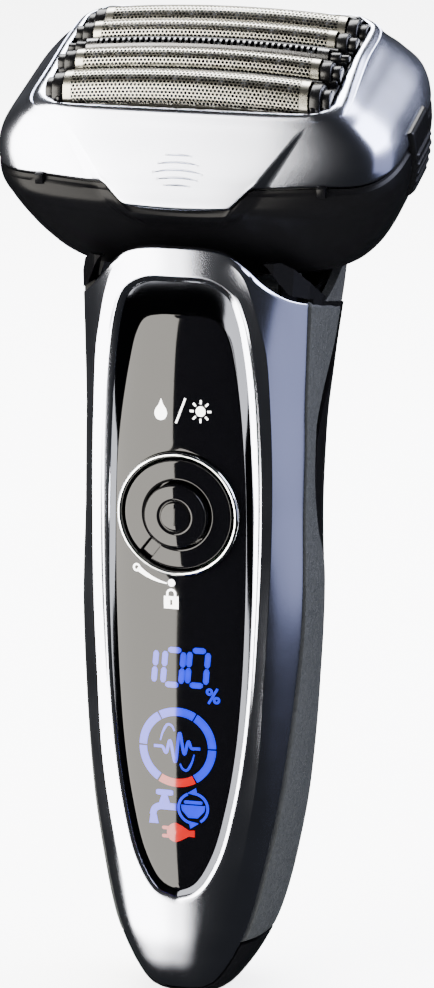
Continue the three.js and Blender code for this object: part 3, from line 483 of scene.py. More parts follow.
# Bright chrome whose colour is darkened to paint the recess's shade and dark reflections; smoother than the
# panel.
painted_shade_chrome, tree, shader = new_material(
    "chrome_with_painted_recess_shade", Base_Color=linear("#3a3c42"), Metallic=1.0, Roughness=0.12
)
coords = add_node(tree, "ShaderNodeTexCoord")
cloud = add_node(
    tree, "ShaderNodeTexNoise", {"Vector": coords.outputs["Object"], "Scale": 300, "Detail": 2.0}
)
uneven = add_node(
    tree, "ShaderNodeMapRange", {"Value": cloud.outputs["Fac"], "To Min": 0.1, "To Max": 0.16}
)
tree.links.new(uneven.outputs["Result"], shader.inputs["Roughness"])
bezel.data.materials.append(painted_shade_chrome)
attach(bezel, "handle")
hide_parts("window_bezel")

# ------------------------------------------------------------------ window glass
# One black acrylic lens, moulded to the handle's curve and polished, with a round hole for the dial.
DIAL_Z, HOLE = 82.4, 10.55
turn = np.concatenate(
    [
        np.linspace(-90, -38, COUNTS[0] + 29)[:-1],
        np.linspace(-38, 38, COUNTS[1] - 50)[:-1],
        np.linspace(38, 90, COUNTS[2] + COUNTS[3] + 24),
    ]
)
turn = np.radians(turn)
hole = both_sides(np.stack([HOLE * np.cos(turn), DIAL_Z + HOLE * np.sin(turn)], -1))
hole[0, 0] = hole[len(turn) - 1, 0] = 0
steps = (COUNTS[0] + 28, COUNTS[1] - 51, sum(COUNTS[2:]) + 23)
glass_edge = both_sides(in_spans(rounded_line(GLASS), (74, 91), steps))
hole, glass_edge = to_round(hole), to_round(glass_edge)
outward = ring_normals(glass_edge)
rows, depths = [hole, hole], [np.full(len(hole), 2.4), np.full(len(hole), recess_at(DIAL_Z) + 0.12)]
shares = np.concatenate([[0.0, 0.02], np.linspace(0.05, 1, 44)])
for share in shares:
    row = hole * (1 - share) + (glass_edge - outward * 0.14) * share
    rows.append(row)
    depths.append(recess_at(row[:, 1]) + (0.06 if share == 0 else 0.02))
rows += [glass_edge - outward * 0.03, glass_edge + outward * 0.02, glass_edge + outward * 0.02]
edge_deep = recess_at(glass_edge[:, 1])
depths += [edge_deep + 0.05, edge_deep + 0.18, edge_deep + 1.2]
lens = sheet_of(
    "window_glass",
    [set_in(row[:, 0], row[:, 1], deep) for row, deep in zip(rows, depths)],
    close_round=True,
    close_through=True,
)
softened(lens, 50)

# Polished black acrylic: nearly a mirror at 4%, with a trace of moulding haze.
gloss_black, tree, shader = new_material(
    "polished_black_acrylic", Base_Color=linear("#030304"), Roughness=0.02, IOR=1.33
)
coords = add_node(tree, "ShaderNodeTexCoord")
haze = add_node(
    tree, "ShaderNodeTexNoise", {"Vector": coords.outputs["Object"], "Scale": 60, "Detail": 4.0}
)
faint = add_node(
    tree, "ShaderNodeMapRange", {"Value": haze.outputs["Fac"], "To Min": 0.012, "To Max": 0.03}
)
tree.links.new(faint.outputs["Result"], shader.inputs["Roughness"])
lens.data.materials.append(gloss_black)
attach(lens, "handle")
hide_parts("window_lens")

# ------------------------------------------------------------------ dial: ring, lock collar and button
# A plated ring is pressed round the hole in the glass. Inside it turns the lock collar, a black
# moulding with a thumb groove, and in its middle the power button clicks in and out.
def turned(name, profile, steps=240):
    """A form turned on the dial's axis, from a closed profile of radius and Y."""
    around = np.linspace(0, 2 * np.pi, steps, endpoint=False)
    points = [
        np.stack([r * np.sin(around), np.full(steps, y), DIAL_Z - r * np.cos(around)], -1)
        for r, y in profile
    ]
    piece = sheet_of(name, points, close_round=True, close_through=profile[0][0] > 0)
    softened(piece, 42)
    return piece


ring = turned(
    "dial_ring_plated",
    [(9.5, -6.3), (9.5, -8.35), (9.54, -8.55), (9.64, -8.74), (9.78, -8.87), (9.95, -8.92)]
    + [(10.12, -8.87), (10.26, -8.74), (10.36, -8.55), (10.4, -8.35), (10.4, -6.3)],
)
bright, tree, shader = new_material(
    "bright_chrome_plating", Base_Color=linear("#eceef0"), Metallic=1.0, Roughness=0.07
)
coords = add_node(tree, "ShaderNodeTexCoord")
cloud = add_node(
    tree, "ShaderNodeTexNoise", {"Vector": coords.outputs["Object"], "Scale": 500, "Detail": 2.0}
)
uneven = add_node(
    tree, "ShaderNodeMapRange", {"Value": cloud.outputs["Fac"], "To Min": 0.05, "To Max": 0.12}
)
tree.links.new(uneven.outputs["Result"], shader.inputs["Roughness"])
ring.data.materials.append(bright)
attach(ring, "handle")
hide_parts("dial_ring")

collar = turned(
    "lock_collar",
    [(5.6, -6.3), (5.6, -8.4), (5.66, -8.64), (5.82, -8.8)]
    + [(r, -8.84 + 0.05 * (r - 5.9)) for r in np.arange(6.0, 8.75, 0.14)]
    + [(8.85, -8.66), (8.98, -8.6), (9.08, -8.5), (9.14, -8.34), (9.16, -8.1), (9.16, -6.3)],
    720,
)
# The thumb groove runs out from the button towards the lower left, with steep walls.
points = np.empty(len(collar.data.vertices) * 3, np.float32)
collar.data.vertices.foreach_get("co", points)
points = points.reshape(-1, 3)
lean = math.radians(38)
along = (-math.sin(lean) * points[:, 0] - math.cos(lean) * (points[:, 2] - DIAL_Z * MM)) / MM
across = (math.cos(lean) * points[:, 0] - math.sin(lean) * (points[:, 2] - DIAL_Z * MM)) / MM
sunk = eased((1.15 - np.abs(across)) / 0.22) * eased((along - 6.0) / 0.3)
sunk *= eased((-7.4 - points[:, 1] / MM) / 0.4)
points[:, 1] += 0.95 * MM * sunk
collar.data.vertices.foreach_set("co", points.ravel())
collar.data.update()
collar.data.materials.append(gloss_black)
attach(collar, "lock_dial")
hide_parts("lock_dial")

button = turned(
    "power_button_cap",
    [(0, -4.9), (1.7, -4.9), (1.7, -5.1), (6.3, -5.1), (6.4, -5.2), (6.4, -5.8), (6.3, -5.9), (5.3, -5.9)]
    + [(5.3, -9.8), (5.26, -10.02), (5.14, -10.2), (4.96, -10.28)]
    + [(r, -10.28 - 0.06 * (4.96 - r)) for r in np.arange(4.8, 2.9, -0.15)]
    + [(2.85, -10.38), (2.74, -10.26), (2.62, -10.05), (2.5, -10.05), (2.42, -10.2), (2.36, -10.36)]
    + [(2.24, -10.44), (2.05, -10.47), (1.4, -10.5), (0.7, -10.53), (0, -10.54)],
)
button.data.materials.append(gloss_black)
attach(button, "power_button")
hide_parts("power_button")

# The on mark is a short engraved bar on the button's middle, filled with black.
bpy.ops.object.select_all(action="DESELECT")
bpy.ops.mesh.primitive_cube_add(size=1)
mark = bpy.context.object
mark.name = "power_mark"
bpy.ops.transform.resize(value=(0.42 * MM, 0.3 * MM, 2.9 * MM))
bpy.ops.transform.translate(value=(0, -10.4 * MM, DIAL_Z * MM))
bpy.ops.object.transform_apply(location=True, rotation=True, scale=True)
modify(mark, "BEVEL", width=0.09 * MM, segments=3)
softened(mark, 40)
ink, tree, shader = new_material("black_fill_ink", Base_Color=linear("#050506"), Roughness=0.5)
coords = add_node(tree, "ShaderNodeTexCoord")
fleck = add_node(tree, "ShaderNodeTexNoise", {"Vector": coords.outputs["Object"], "Scale": 5000})
bump = add_node(
    tree, "ShaderNodeBump", {"Height": fleck.outputs["Fac"], "Strength": 0.1, "Distance": 0.00003}
)
tree.links.new(bump.outputs["Normal"], shader.inputs["Normal"])
mark.data.materials.append(ink)
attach(mark, "power_button")

# ------------------------------------------------------------------ printing and display marks
# White marks are screen-printed on the glass: a drop and a sun for wet and dry use, the lock's
# travel and a padlock. Blue and red lamps shine through it: the charge, a dial and three signs.


def bar(p, q, width, tip=0.4):
    """A short lamp segment with narrowed ends, as quads."""
    p, q = np.array(p, float), np.array(q, float)
    along = (q - p) / np.linalg.norm(q - p)
    side = np.array([-along[1], along[0]]) * width / 2
    stops = [(p, tip), (p + along * width * 0.42, 1), (q - along * width * 0.42, 1), (q, tip)]
    rails = [(c - side * k, c + side * k) for c, k in stops]
    return [[a0, b0, b1, a1] for (a0, a1), (b0, b1) in zip(rails, rails[1:])]


def stroke(points, width, smooth_steps=0):
    """A line of quads along points; width is one number or one for each point."""
    points = np.asarray(points, float)
    widths = np.broadcast_to(np.asarray(width, float), len(points))
    if smooth_steps:
        fine = rounded_line(points, smooth_steps)
        run = np.linspace(0, 1, len(points))
        widths = np.interp(np.linspace(0, 1, smooth_steps), run, widths)
        points = fine
    along = np.gradient(points, axis=0)
    along /= np.linalg.norm(along, axis=1, keepdims=True)
    side = np.stack([-along[:, 1], along[:, 0]], -1) * widths[:, None] / 2
    low, high = points - side, points + side
    return [[low[i], low[i + 1], high[i + 1], high[i]] for i in range(len(points) - 1)]


def arc(x, z, inner, outer, start, end, steps=24):
    turn = np.radians(np.linspace(start, end, steps + 1))
    way = np.stack([np.cos(turn), np.sin(turn)], -1)
    mid = np.array([x, z])
    near, far = mid + way * inner, mid + way * outer
    return [[near[i], far[i], far[i + 1], near[i + 1]] for i in range(steps)]


def laid_on_glass(name, quads, material, body="handle"):
    """Flat marks lifted onto the glass, 0.06 mm thick with their foot just inside it."""
    corners = np.array(quads, float)
    grid = np.linspace(0, 1, 4)
    u, v = np.meshgrid(grid, grid)
    u, v = u[..., None], v[..., None]
    vertices, faces = [], []
    for a, b, c, d in corners:
        patch = (a * (1 - u) + b * u) * (1 - v) + (d * (1 - u) + c * u) * v
        first = len(vertices)
        vertices += list(patch.reshape(-1, 2))
        faces += [
            (first + 4 * j + i, first + 4 * j + i + 1, first + 4 * j + i + 5, first + 4 * j + i + 4)
            for j in range(3)
            for i in range(3)
        ]
    flat = np.array(vertices)
    round_way = round_at_x(flat[:, 0], flat[:, 1])
    placed = set_in(round_way, flat[:, 1], recess_at(flat[:, 1]) - 0.015) * MM
    mesh = bpy.data.meshes.new(name)
    mesh.from_pydata(placed.tolist(), [], faces)
    piece = bpy.data.objects.new(name, mesh)
    bpy.context.collection.objects.link(piece)
    bpy.ops.object.select_all(action="DESELECT")
    piece.select_set(True)
    bpy.context.view_layer.objects.active = piece
    bpy.ops.object.mode_set(mode="EDIT")
    bpy.ops.mesh.select_all(action="SELECT")
    bpy.ops.mesh.remove_doubles(threshold=0.000006)
    bpy.ops.mesh.normals_make_consistent(inside=False)
    bpy.ops.object.mode_set(mode="OBJECT")
    up = sum((f.normal * f.area for f in piece.data.polygons), Vector())
    if up.y > 0:
        piece.data.flip_normals()
    modify(piece, "SOLIDIFY", thickness=0.06 * MM, offset=-1)
    softened(piece, 40)
    piece.data.materials.append(material)
    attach(piece, body)
    return piece


def printed(name, colour, glow):
    """Screen print or a lit lamp seen through the glass, under the same polish."""
    material, tree, shader = new_material(
        name, Base_Color=linear(colour if not glow else "#050506"), Roughness=0.03, IOR=1.5
    )
    if glow:
        coords = add_node(tree, "ShaderNodeTexCoord")
        dots = add_node(
            tree, "ShaderNodeTexNoise", {"Vector": coords.outputs["Object"], "Scale": 900, "Detail": 1.0}
        )
        level = add_node(
            tree,
            "ShaderNodeMapRange",
            {"Value": dots.outputs["Fac"], "To Min": glow * 0.8, "To Max": glow * 1.2},
        )
        shader.inputs["Emission Color"].default_value = linear(colour)
        tree.links.new(level.outputs["Result"], shader.inputs["Emission Strength"])
    return material


white_ink = printed("white_screen_print", "#f2f2f2", 0)
marks = []
# drop, slash and sun
drop_side = [(-3.2, 101.4), (-3.55, 100.5), (-4.15, 99.6), (-4.3, 98.8), (-3.85, 98.0), (-3.2, 97.8)]
line = rounded_line(drop_side, 24)
mirror = np.stack([-6.4 - line[:, 0], line[:, 1]], -1)
marks += [[line[i], line[i + 1], mirror[i + 1], mirror[i]] for i in range(23)]
marks += stroke([(-0.5, 97.5), (1.0, 101.6)], 0.32)
marks += arc(3.7, 99.6, 0, 0.85, 0, 360)
for k in range(8):
    a = math.radians(45 * k)
    way = np.array([math.cos(a), math.sin(a)])
    marks += stroke([np.array([3.7, 99.6]) + way * 1.2, np.array([3.7, 99.6]) + way * 1.85], 0.32)
# lock travel: an open ring, a wedge along the dial, a dot, and a padlock
marks += arc(-7.4, 72.9, 0.36, 0.7, 0, 360)
sweep = np.radians(np.linspace(-127, -99.5, 16))
marks += stroke(
    np.stack([11.95 * np.cos(sweep), DIAL_Z + 11.95 * np.sin(sweep)], -1), np.linspace(0.95, 0.2, 16)
)
marks += arc(-1.2, 70.75, 0, 0.62, 0, 360)
marks += [[(-2.5, 66.4), (-1.45, 66.4), (-1.45, 68.5), (-2.5, 68.5)]]
marks += [[(-1.05, 66.4), (0.0, 66.4), (0.0, 68.5), (-1.05, 68.5)]]
marks += [[(-1.45, 66.4), (-1.05, 66.4), (-1.05, 67.0), (-1.45, 67.0)]]
marks += [[(-1.45, 67.9), (-1.05, 67.9), (-1.05, 68.5), (-1.45, 68.5)]]
marks += arc(-1.25, 68.9, 0.5, 0.86, 0, 180) + stroke([(-1.93, 68.4), (-1.93, 68.92)], 0.36)
marks += stroke([(-0.57, 68.4), (-0.57, 68.92)], 0.36)
white_print = laid_on_glass("printed_white_marks", marks, white_ink)

blue = printed("blue_lamp_light", "#0014ff", 2.2)
marks = []
SLANT = 0.09


def seven(left, foot, width, height, on):
    """Lamp segments of one figure: a top, b and c right, d foot, e and f left."""
    half, w, g = height / 2, 0.98, 0.1
    spots = {
        "a": ((g + 0.35, height), (width - g - 0.35, height)),
        "d": ((g + 0.35, 0), (width - g - 0.35, 0)),
        "f": ((0, half + g), (0, height - g - 0.2)),
        "b": ((width, half + g), (width, height - g - 0.2)),
        "e": ((0, g + 0.2), (0, half - g)),
        "c": ((width, g + 0.2), (width, half - g)),
    }
    quads = []
    for key in on:
        p, q = spots[key]
        p, q = [(left + x + SLANT * z, foot + z) for x, z in (p, q)]
        quads += bar(p, q, w, 0.45)
    return quads


marks += seven(-4.35, 53.55, 0, 5.9, "ef")
marks += seven(-2.75, 53.55, 3.15, 5.9, "abcdef")
marks += seven(1.5, 53.7, 3.15, 5.9, "abcdef")
marks += stroke([(5.2, 50.75), (6.75, 53.35)], 0.4)
marks += arc(5.35, 52.75, 0.22, 0.62, 0, 360, 16) + arc(6.6, 51.35, 0.22, 0.62, 0, 360, 16)
CX, CZ = -0.2, 42.95
for k in (0, 1, 2, 3, 5):
    marks += arc(CX, CZ, 5.35, 6.75, 60 * k + 1.3, 60 * k + 58.7)
beat = [(-4.1, 0), (-3.3, 0), (-2.6, -0.05), (-1.95, -1.05), (-1.28, 1.1), (-0.35, -2.5), (0.42, 2.5)]
beat += [(1.25, -1.1), (1.95, 1.15), (2.5, 0.0), (3.2, 0), (4.0, 0)]
marks += stroke([(CX + x, CZ + z) for x, z in beat], 0.5, 150)
for side in (-1, 1):
    hook = [(2.95, 1.0), (2.5, 2.5), (1.65, 3.8), (0.95, 3.6), (0.5, 2.75)]
    marks += stroke([(CX + side * x, CZ - side * z) for x, z in hook], [0.2, 0.3, 0.42, 0.36, 0.25], 40)
# tap
marks += bar((-3.9, 35.1), (-0.9, 35.1), 0.95, 0.7) + stroke([(-2.4, 34.7), (-2.4, 33.2)], [1.0, 2.0])
marks += stroke([(-0.35, 32.75), (-2.2, 32.75), (-3.3, 32.7), (-4.15, 32.2), (-4.5, 31.1)], 1.15, 30)
marks += stroke([(-4.35, 31.2), (-4.3, 29.7)], [1.15, 1.7])
# two arrows round a small shaver head
marks += arc(2.6, 32.75, 2.32, 2.76, -60, 92) + arc(2.6, 32.75, 2.32, 2.76, 112, 262)
marks += stroke([(1.7, 35.3), (3.2, 35.6)], [0.1, 1.3]) + stroke([(3.5, 30.2), (2.0, 29.9)], [0.1, 1.3])
marks += bar((1.0, 33.75), (4.2, 33.75), 0.55, 0.6)
marks += stroke([(2.6, 33.25), (2.6, 32.3)], [4.2, 3.9]) + stroke([(2.6, 32.3), (2.6, 31.1)], [3.9, 1.6])
blue_marks = laid_on_glass("display_marks_blue", marks, blue)

red = printed("red_lamp_light", "#ff0808", 1.3)
marks = arc(CX, CZ, 5.35, 6.75, 241.3, 298.7)
marks += arc(-0.3, 28.4, 0, 1.65, 90, 270) + stroke([(-0.3, 28.4), (0.6, 28.4)], [3.3, 2.5])
marks += stroke([(0.6, 28.4), (1.9, 28.4), (2.9, 28.4)], [2.5, 1.0, 1.2])
marks += bar((-2.8, 29.1), (-1.2, 29.1), 0.6, 0.6) + bar((-2.8, 27.7), (-1.2, 27.7), 0.6, 0.6)
red_marks = laid_on_glass("display_marks_red", marks, red)

# ------------------------------------------------------------------ side grips
# Two soft pads of thermoplastic rubber, moulded onto the body behind the wings. Their face has a
# leather-like grain so that a wet hand holds.
BACK_EDGE = np.array(
    [[9, 7], [13, 9.8], [22, 13.5], [36, 16.5], [48, 17], [60, 15.5], [70, 12.2], [78, 7.5], [87, 5.9]]
    + [[94.5, 6.4], [99.2, 8.8], [104.8, 12.8], [110, 17], [118, 20.5]]
)


def seam_z(y):
    """The top of grips and rear cover, a seam that falls a little towards the back."""
    return 117.3 - 0.18 * y


def grip_back(z):
    edge = np.asarray([smooth(float(k), BACK_EDGE[:, 0], BACK_EDGE[:, 1]) for k in np.ravel(z)])
    return edge.reshape(np.shape(z))


def grip_piece(name, side):
    rise = 9.3 + (118 - 9.3) * np.linspace(0, 1, 240)
    front = round_at_y(wing_y(rise), rise) + 0.32
    rear = round_at_y(grip_back(rise), rise) - 0.15
    across = np.linspace(0, 1, 44)
    s = front[:, None] * (1 - across) + rear[:, None] * across
    z = np.repeat(rise[:, None], len(across), 1)
    ends = on_handle(s[-1], z[-1])
    top = seam_z(ends[:, 1]) - 0.2
    z = 9.3 + (z - 9.3) * ((top - 9.3) / (118 - 9.3))[None, :]
    front = round_at_y(wing_y(z[:, 0]), z[:, 0]) + 0.32
    rear = round_at_y(grip_back(z[:, -1]), z[:, -1]) - 0.15
    s = front[:, None] * (1 - across) + rear[:, None] * across
    # distances to the four edges round the pad's rim over
    edge = np.minimum(s - front[:, None], rear[:, None] - s)
    edge = np.minimum(edge, np.minimum(z - 9.3, (z[-1] - z)))
    radius = 0.5
    depth = radius - np.sqrt(np.clip(radius**2 - np.clip(radius - edge, 0, radius) ** 2, 0, None))
    outer = set_in(s, z, depth - 0.05)
    inner = set_in(s, z, np.full(s.shape, 1.15))
    # the skin, its rim and the bonded face as one closed quilt
    loop = np.concatenate([outer, inner[::-1]], 0)
    loop[:, :, 0] *= side
    piece = sheet_of(name, loop, close_through=True)
    bpy.ops.object.select_all(action="DESELECT")
    piece.select_set(True)
    bpy.ops.object.mode_set(mode="EDIT")
    bpy.ops.mesh.select_all(action="DESELECT")
    bpy.ops.mesh.select_non_manifold()
    bpy.ops.mesh.edge_face_add()
    bpy.ops.mesh.select_all(action="SELECT")
    bpy.ops.mesh.normals_make_consistent(inside=False)
    bpy.ops.object.mode_set(mode="OBJECT")
    softened(piece, 50)
    return piece


# Rubber moulded against a spark-eroded tool: 0.8 mm pebbles over a 0.2 mm grain, matt in the valleys.
def pebbled(name, colour, depth, rough):
    material, tree, shader = new_material(name, Base_Color=linear(colour), Roughness=rough, IOR=1.33)
    coords = add_node(tree, "ShaderNodeTexCoord")
    swirl = add_node(
        tree, "ShaderNodeTexNoise", {"Vector": coords.outputs["Object"], "Scale": 700, "Detail": 2.0}
    )
    pushed = add_node(
        tree,
        "ShaderNodeVectorMath",
        {0: swirl.outputs["Color"], 1: (0.0006, 0.0006, 0.0006)},
        operation="MULTIPLY",
    )
    place = add_node(
        tree,
        "ShaderNodeVectorMath",
        {0: coords.outputs["Object"], 1: pushed.outputs["Vector"]},
        operation="ADD",
    )
    pebbles = add_node(
        tree,
        "ShaderNodeTexVoronoi",
        {"Vector": place.outputs["Vector"], "Scale": 1150},
        feature="SMOOTH_F1",
    )
    pebbles.inputs["Smoothness"].default_value = 0.5
    fine = add_node(
        tree, "ShaderNodeTexNoise", {"Vector": coords.outputs["Object"], "Scale": 4500, "Detail": 2.0}
    )
    height = add_node(
        tree,
        "ShaderNodeMath",
        {0: pebbles.outputs["Distance"], 1: -1.0, 2: fine.outputs["Fac"]},
        operation="MULTIPLY_ADD",
    )
    bump = add_node(
        tree, "ShaderNodeBump", {"Height": height.outputs[0], "Strength": 0.8, "Distance": depth}
    )
    shade = add_node(
        tree,
        "ShaderNodeMapRange",
        {"Value": pebbles.outputs["Distance"], "From Max": 0.8, "To Min": rough - 0.1, "To Max": rough + 0.15},
    )
    tree.links.new(bump.outputs["Normal"], shader.inputs["Normal"])
    tree.links.new(shade.outputs["Result"], shader.inputs["Roughness"])
    return material


rubber = pebbled("grained_thermoplastic_rubber", "#1d1f20", 0.00012, 0.5)
for side, word in ((-1, "left"), (1, "right")):
    pad = grip_piece("side_grip_" + word, side)
    pad.data.materials.append(rubber)
    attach(pad, "handle")
    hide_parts("grip_" + word)

# ------------------------------------------------------------------ rear cover and foot
# The back half of the handle: one black ABS moulding, from wing to wing round the back, with a
# shallow seat for each grip. A foot plate closes it, with the inlet's opening in it.
rise = np.concatenate([[0.9, 1.4, 2.2, 3.4, 5, 7, 9.0, 9.02], np.linspace(10, 117.2, 210)])
front = round_at_y(wing_y(rise), rise) + 0.12
rear = round_at_y(grip_back(np.maximum(rise, 9)), rise)
total = np.interp(rise, HEIGHTS, SECTION_LENGTH)
columns = []
for share in np.linspace(0, 1, 20):
    columns.append((front * (1 - share) + rear * share, np.where(rise > 9.01, 1.3, 0.0)))
columns[0] = (columns[0][0], np.full(len(rise), 1.3))
columns.insert(1, (front + 0.2, np.where(rise > 9.01, 1.3, 0.12)))
columns.append((rear + 0.02, np.where(rise > 9.01, 0.35, 0.0)))
columns.append((rear + 0.12, np.where(rise > 9.01, 0.08, 0.0)))
for share in np.concatenate([[0.02], np.linspace(0.05, 1, 52)]):
    columns.append(((rear + 0.3) * (1 - share) + total * share, 0 * rise))
half = np.stack([set_in(s, rise, d) for s, d in columns], 1)
half[:, -1, 0] = 0
top = seam_z(half[-1, :, 1])
low = half[0, :, 2]
half[:, :, 2] = low + (half[:, :, 2] - low) * ((top - low) / (half[-1, :, 2] - low))
skin = np.concatenate([half, half[:, -2::-1] * [-1, 1, 1]], 1)
# the wall's inside face: the same skin drawn in towards the core
core = np.array([0, 7.5, 0])
inner = skin.copy()
towards = inner - (core + inner * [0, 0, 1])
length = np.linalg.norm(towards[..., :2], axis=-1, keepdims=True)
inner -= towards * np.minimum(2.2, length * 0.5) / length
loop = np.concatenate([skin, inner[::-1]], 0)
cover = sheet_of("rear_cover_shell", loop, close_through=True)
bpy.ops.object.mode_set(mode="EDIT")
bpy.ops.mesh.select_all(action="DESELECT")
bpy.ops.mesh.select_non_manifold()
bpy.ops.mesh.edge_face_add()
bpy.ops.mesh.select_all(action="SELECT")
bpy.ops.mesh.normals_make_consistent(inside=False)
bpy.ops.object.mode_set(mode="OBJECT")


TRIMMER_FOOT, TRIMMER_LEAN = (0, 20.4, 88), -0.19


def in_pocket(name, low, high):
    """A block in the trimmer's own frame, which leans with the back of the handle; sizes in mm."""
    bpy.ops.mesh.primitive_cube_add(size=1)
    block = bpy.context.object
    block.name = name
    low, high = Vector(low), Vector(high)
    block.data.transform(Matrix.Diagonal((*(high - low), 1)))
    block.data.transform(Matrix.Translation((low + high) / 2))
    block.data.transform(Matrix.Translation(TRIMMER_FOOT) @ Matrix.Rotation(TRIMMER_LEAN, 4, "X"))
    block.data.transform(Matrix.Scale(MM, 4))
    return block


# The trimmer's pocket is cut through the cover; a tray behind it carries the slide.
cutter = in_pocket("cutter", (-10.8, -0.3, -0.3), (10.8, 20, 60))
modify(cover, "BOOLEAN", operation="DIFFERENCE", object=cutter, solver="EXACT")
bpy.data.objects.remove(cutter)
softened(cover, 40)
tray = in_pocket("trimmer_tray", (-12, -1.5, -1.5), (12, -0.3, 24.5))
modify(tray, "BEVEL", width=0.2 * MM, segments=2, limit_method="ANGLE")
softened(tray, 40)

# Satin black ABS from an etched tool: a fine 0.25 mm grain, a little glossier than the rubber.
abs_black, tree, shader = new_material(
    "satin_black_abs", Base_Color=linear("#050506"), Roughness=0.34, IOR=1.17
)
coords = add_node(tree, "ShaderNodeTexCoord")
etch = add_node(
    tree, "ShaderNodeTexNoise", {"Vector": coords.outputs["Object"], "Scale": 3200, "Detail": 2.0}
)
bump = add_node(
    tree, "ShaderNodeBump", {"Height": etch.outputs["Fac"], "Strength": 0.25, "Distance": 0.00003}
)
cloud = add_node(
    tree, "ShaderNodeTexNoise", {"Vector": coords.outputs["Object"], "Scale": 120, "Detail": 3.0}
)
uneven = add_node(
    tree, "ShaderNodeMapRange", {"Value": cloud.outputs["Fac"], "To Min": 0.25, "To Max": 0.36}
)
tree.links.new(bump.outputs["Normal"], shader.inputs["Normal"])
tree.links.new(uneven.outputs["Result"], shader.inputs["Roughness"])
for piece in (cover, tray):
    piece.data.materials.append(abs_black)
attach(tray, "handle")
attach(cover, "handle")
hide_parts("rear_cover")

# ------------------------------------------------------------------ head shells
# The floating head is a black ABS base with a plated foil frame clipped onto it. The frame's front is a
# raised trapezoid between two cheeks, and its rim is a flat land round the cutting cassette.
TILT = math.radians(19)
HEAD_AT = np.array([0, 16.5, 132.9])
HEAD_FORM = np.array(
    [  # height, half-width, front, back, squareness
        [-9, 25.63, -14.5, 20.6, 3.0],
        [-5.5, 28.9, -17.4, 22.2, 3.0],
        [-1, 31.48, -19.9, 22.9, 3.2],
        [4.5, 33.54, -22, 22.9, 3.6],
        [8.4, 34.23, -23.3, 22.3, 4.0],
        [12, 34.06, -21.9, 21.6, 4.6],
        [16, 32.85, -19.6, 19.9, 6.0],
        [19.5, 29.93, -17.8, 18.1, 7.0],
        [22.4, 26.66, -16.3, 16.7, 8.0],
        [26, 25.28, -15.7, 16, 8.0],
    ]
)
HEAD_HEIGHTS = np.arange(-9, 26.01, 0.25)
HEAD_ROUND = np.linspace(0, 1, 721)


def in_head(points):
    """From the head's own frame, whose origin is the pivot, to the handle's."""
    x, y, z = np.moveaxis(np.asarray(points, float), -1, 0)
    c, s = math.cos(TILT), math.sin(TILT)
    return HEAD_AT + np.stack([x, y * c - z * s, y * s + z * c], -1)


HEAD_X, HEAD_Y = [], []
turns = -np.pi / 2 + np.pi * np.linspace(0, 1, 2881)
for z in HEAD_HEIGHTS:
    half, front, rear, power = (smooth(z, HEAD_FORM[:, 0], HEAD_FORM[:, k]) for k in (1, 2, 3, 4))
    c, s = np.cos(turns), np.sin(turns)
    x = half * np.abs(c) ** (2 / power)
    y = np.where(s < 0, -front, rear) * np.sign(s) * np.abs(s) ** (2 / power)
    run = np.concatenate([[0], np.cumsum(np.hypot(np.diff(x), np.diff(y)))])
    HEAD_X.append(np.interp(HEAD_ROUND, run / run[-1], x))
    HEAD_Y.append(np.interp(HEAD_ROUND, run / run[-1], y))
HEAD_X, HEAD_Y = np.array(HEAD_X), np.array(HEAD_Y)


def on_head(u, z):
    """Points on the head's form: u is the share of the way round from front centre to back centre."""
    u, z = np.broadcast_arrays(np.asarray(u, float), np.asarray(z, float))
    row = np.clip((z + 9) / 0.25, 0, len(HEAD_HEIGHTS) - 1.001)
    col = np.clip(u, 0, 1) * (len(HEAD_ROUND) - 1.001)
    i, j = row.astype(int), col.astype(int)
    f, g = row - i, col - j

    def read(table):
        low = table[i, j] * (1 - g) + table[i, j + 1] * g
        high = table[i + 1, j] * (1 - g) + table[i + 1, j + 1] * g
        return low * (1 - f) + high * f

    return np.stack([read(HEAD_X), read(HEAD_Y), z], -1)


def head_in(u, z, depth):
    here = on_head(u, z)
    e = 0.003
    way = on_head(np.minimum(u + e, 1), z) - on_head(np.maximum(u - e, 0), z)
    up = on_head(u, np.minimum(z + 0.3, 25.9)) - on_head(u, np.maximum(z - 0.3, -9))
    outward = np.cross(way, up)
    outward /= np.maximum(np.linalg.norm(outward, axis=-1, keepdims=True), 1e-9)
    outward[..., 0] = np.where((u < 0.002) | (u > 0.998), 0, outward[..., 0])
    return here - outward * np.asarray(depth, float)[..., None]


def share_at(x, z):
    row = int(np.clip(round((z + 9) / 0.25), 0, len(HEAD_HEIGHTS) - 1))
    rising = slice(0, int(np.argmax(HEAD_X[row])) + 1)
    return float(np.interp(x, HEAD_X[row][rising], HEAD_ROUND[rising]))


def bevel_width(z):
    return 0.25 + 1.9 * np.clip((20.5 - z) / 12, 0, 1)


def trapezoid_edge(z):
    return 11.5 + (z - 9.2) * 0.81


EDGE_IN = np.array([share_at(trapezoid_edge(z) - bevel_width(z) / 2, z) for z in HEAD_HEIGHTS])
EDGE_OUT = np.array([share_at(trapezoid_edge(z) + bevel_width(z) / 2, z) for z in HEAD_HEIGHTS])


def column_share(c, z):
    """Columns 0-1 cross the trapezoid, 1-2 its bevel, 2-3 the cheek, 3-4 the corner, 4-5 the rest."""
    a, b = np.interp(z, HEAD_HEIGHTS, EDGE_IN), np.interp(z, HEAD_HEIGHTS, EDGE_OUT)
    knots = [0 * a, a, b, 0.3 + 0 * a, 0.42 + 0 * a, 1 + 0 * a]
    whole = np.clip(np.floor(c).astype(int), 0, 4)
    part = c - whole
    low, high = np.choose(whole, knots[:5]), np.choose(whole, knots[1:])
    return low * (1 - part) + high * part


def chin(point):
    """The seam between frame and base: low under the trapezoid, a step up, then level round the back."""
    x, y = np.abs(point[..., 0]), point[..., 1]
    bowl = 8.1 + 0.4 * np.minimum(x / 8.2, 1) ** 2
    front = bowl + 3.2 * eased((x - 8.2) / 4.8) + 0.25 * eased((x - 13) / 9) - 0.75 * eased((x - 23) / 9)
    return np.where(y < 0, front, 11.2)


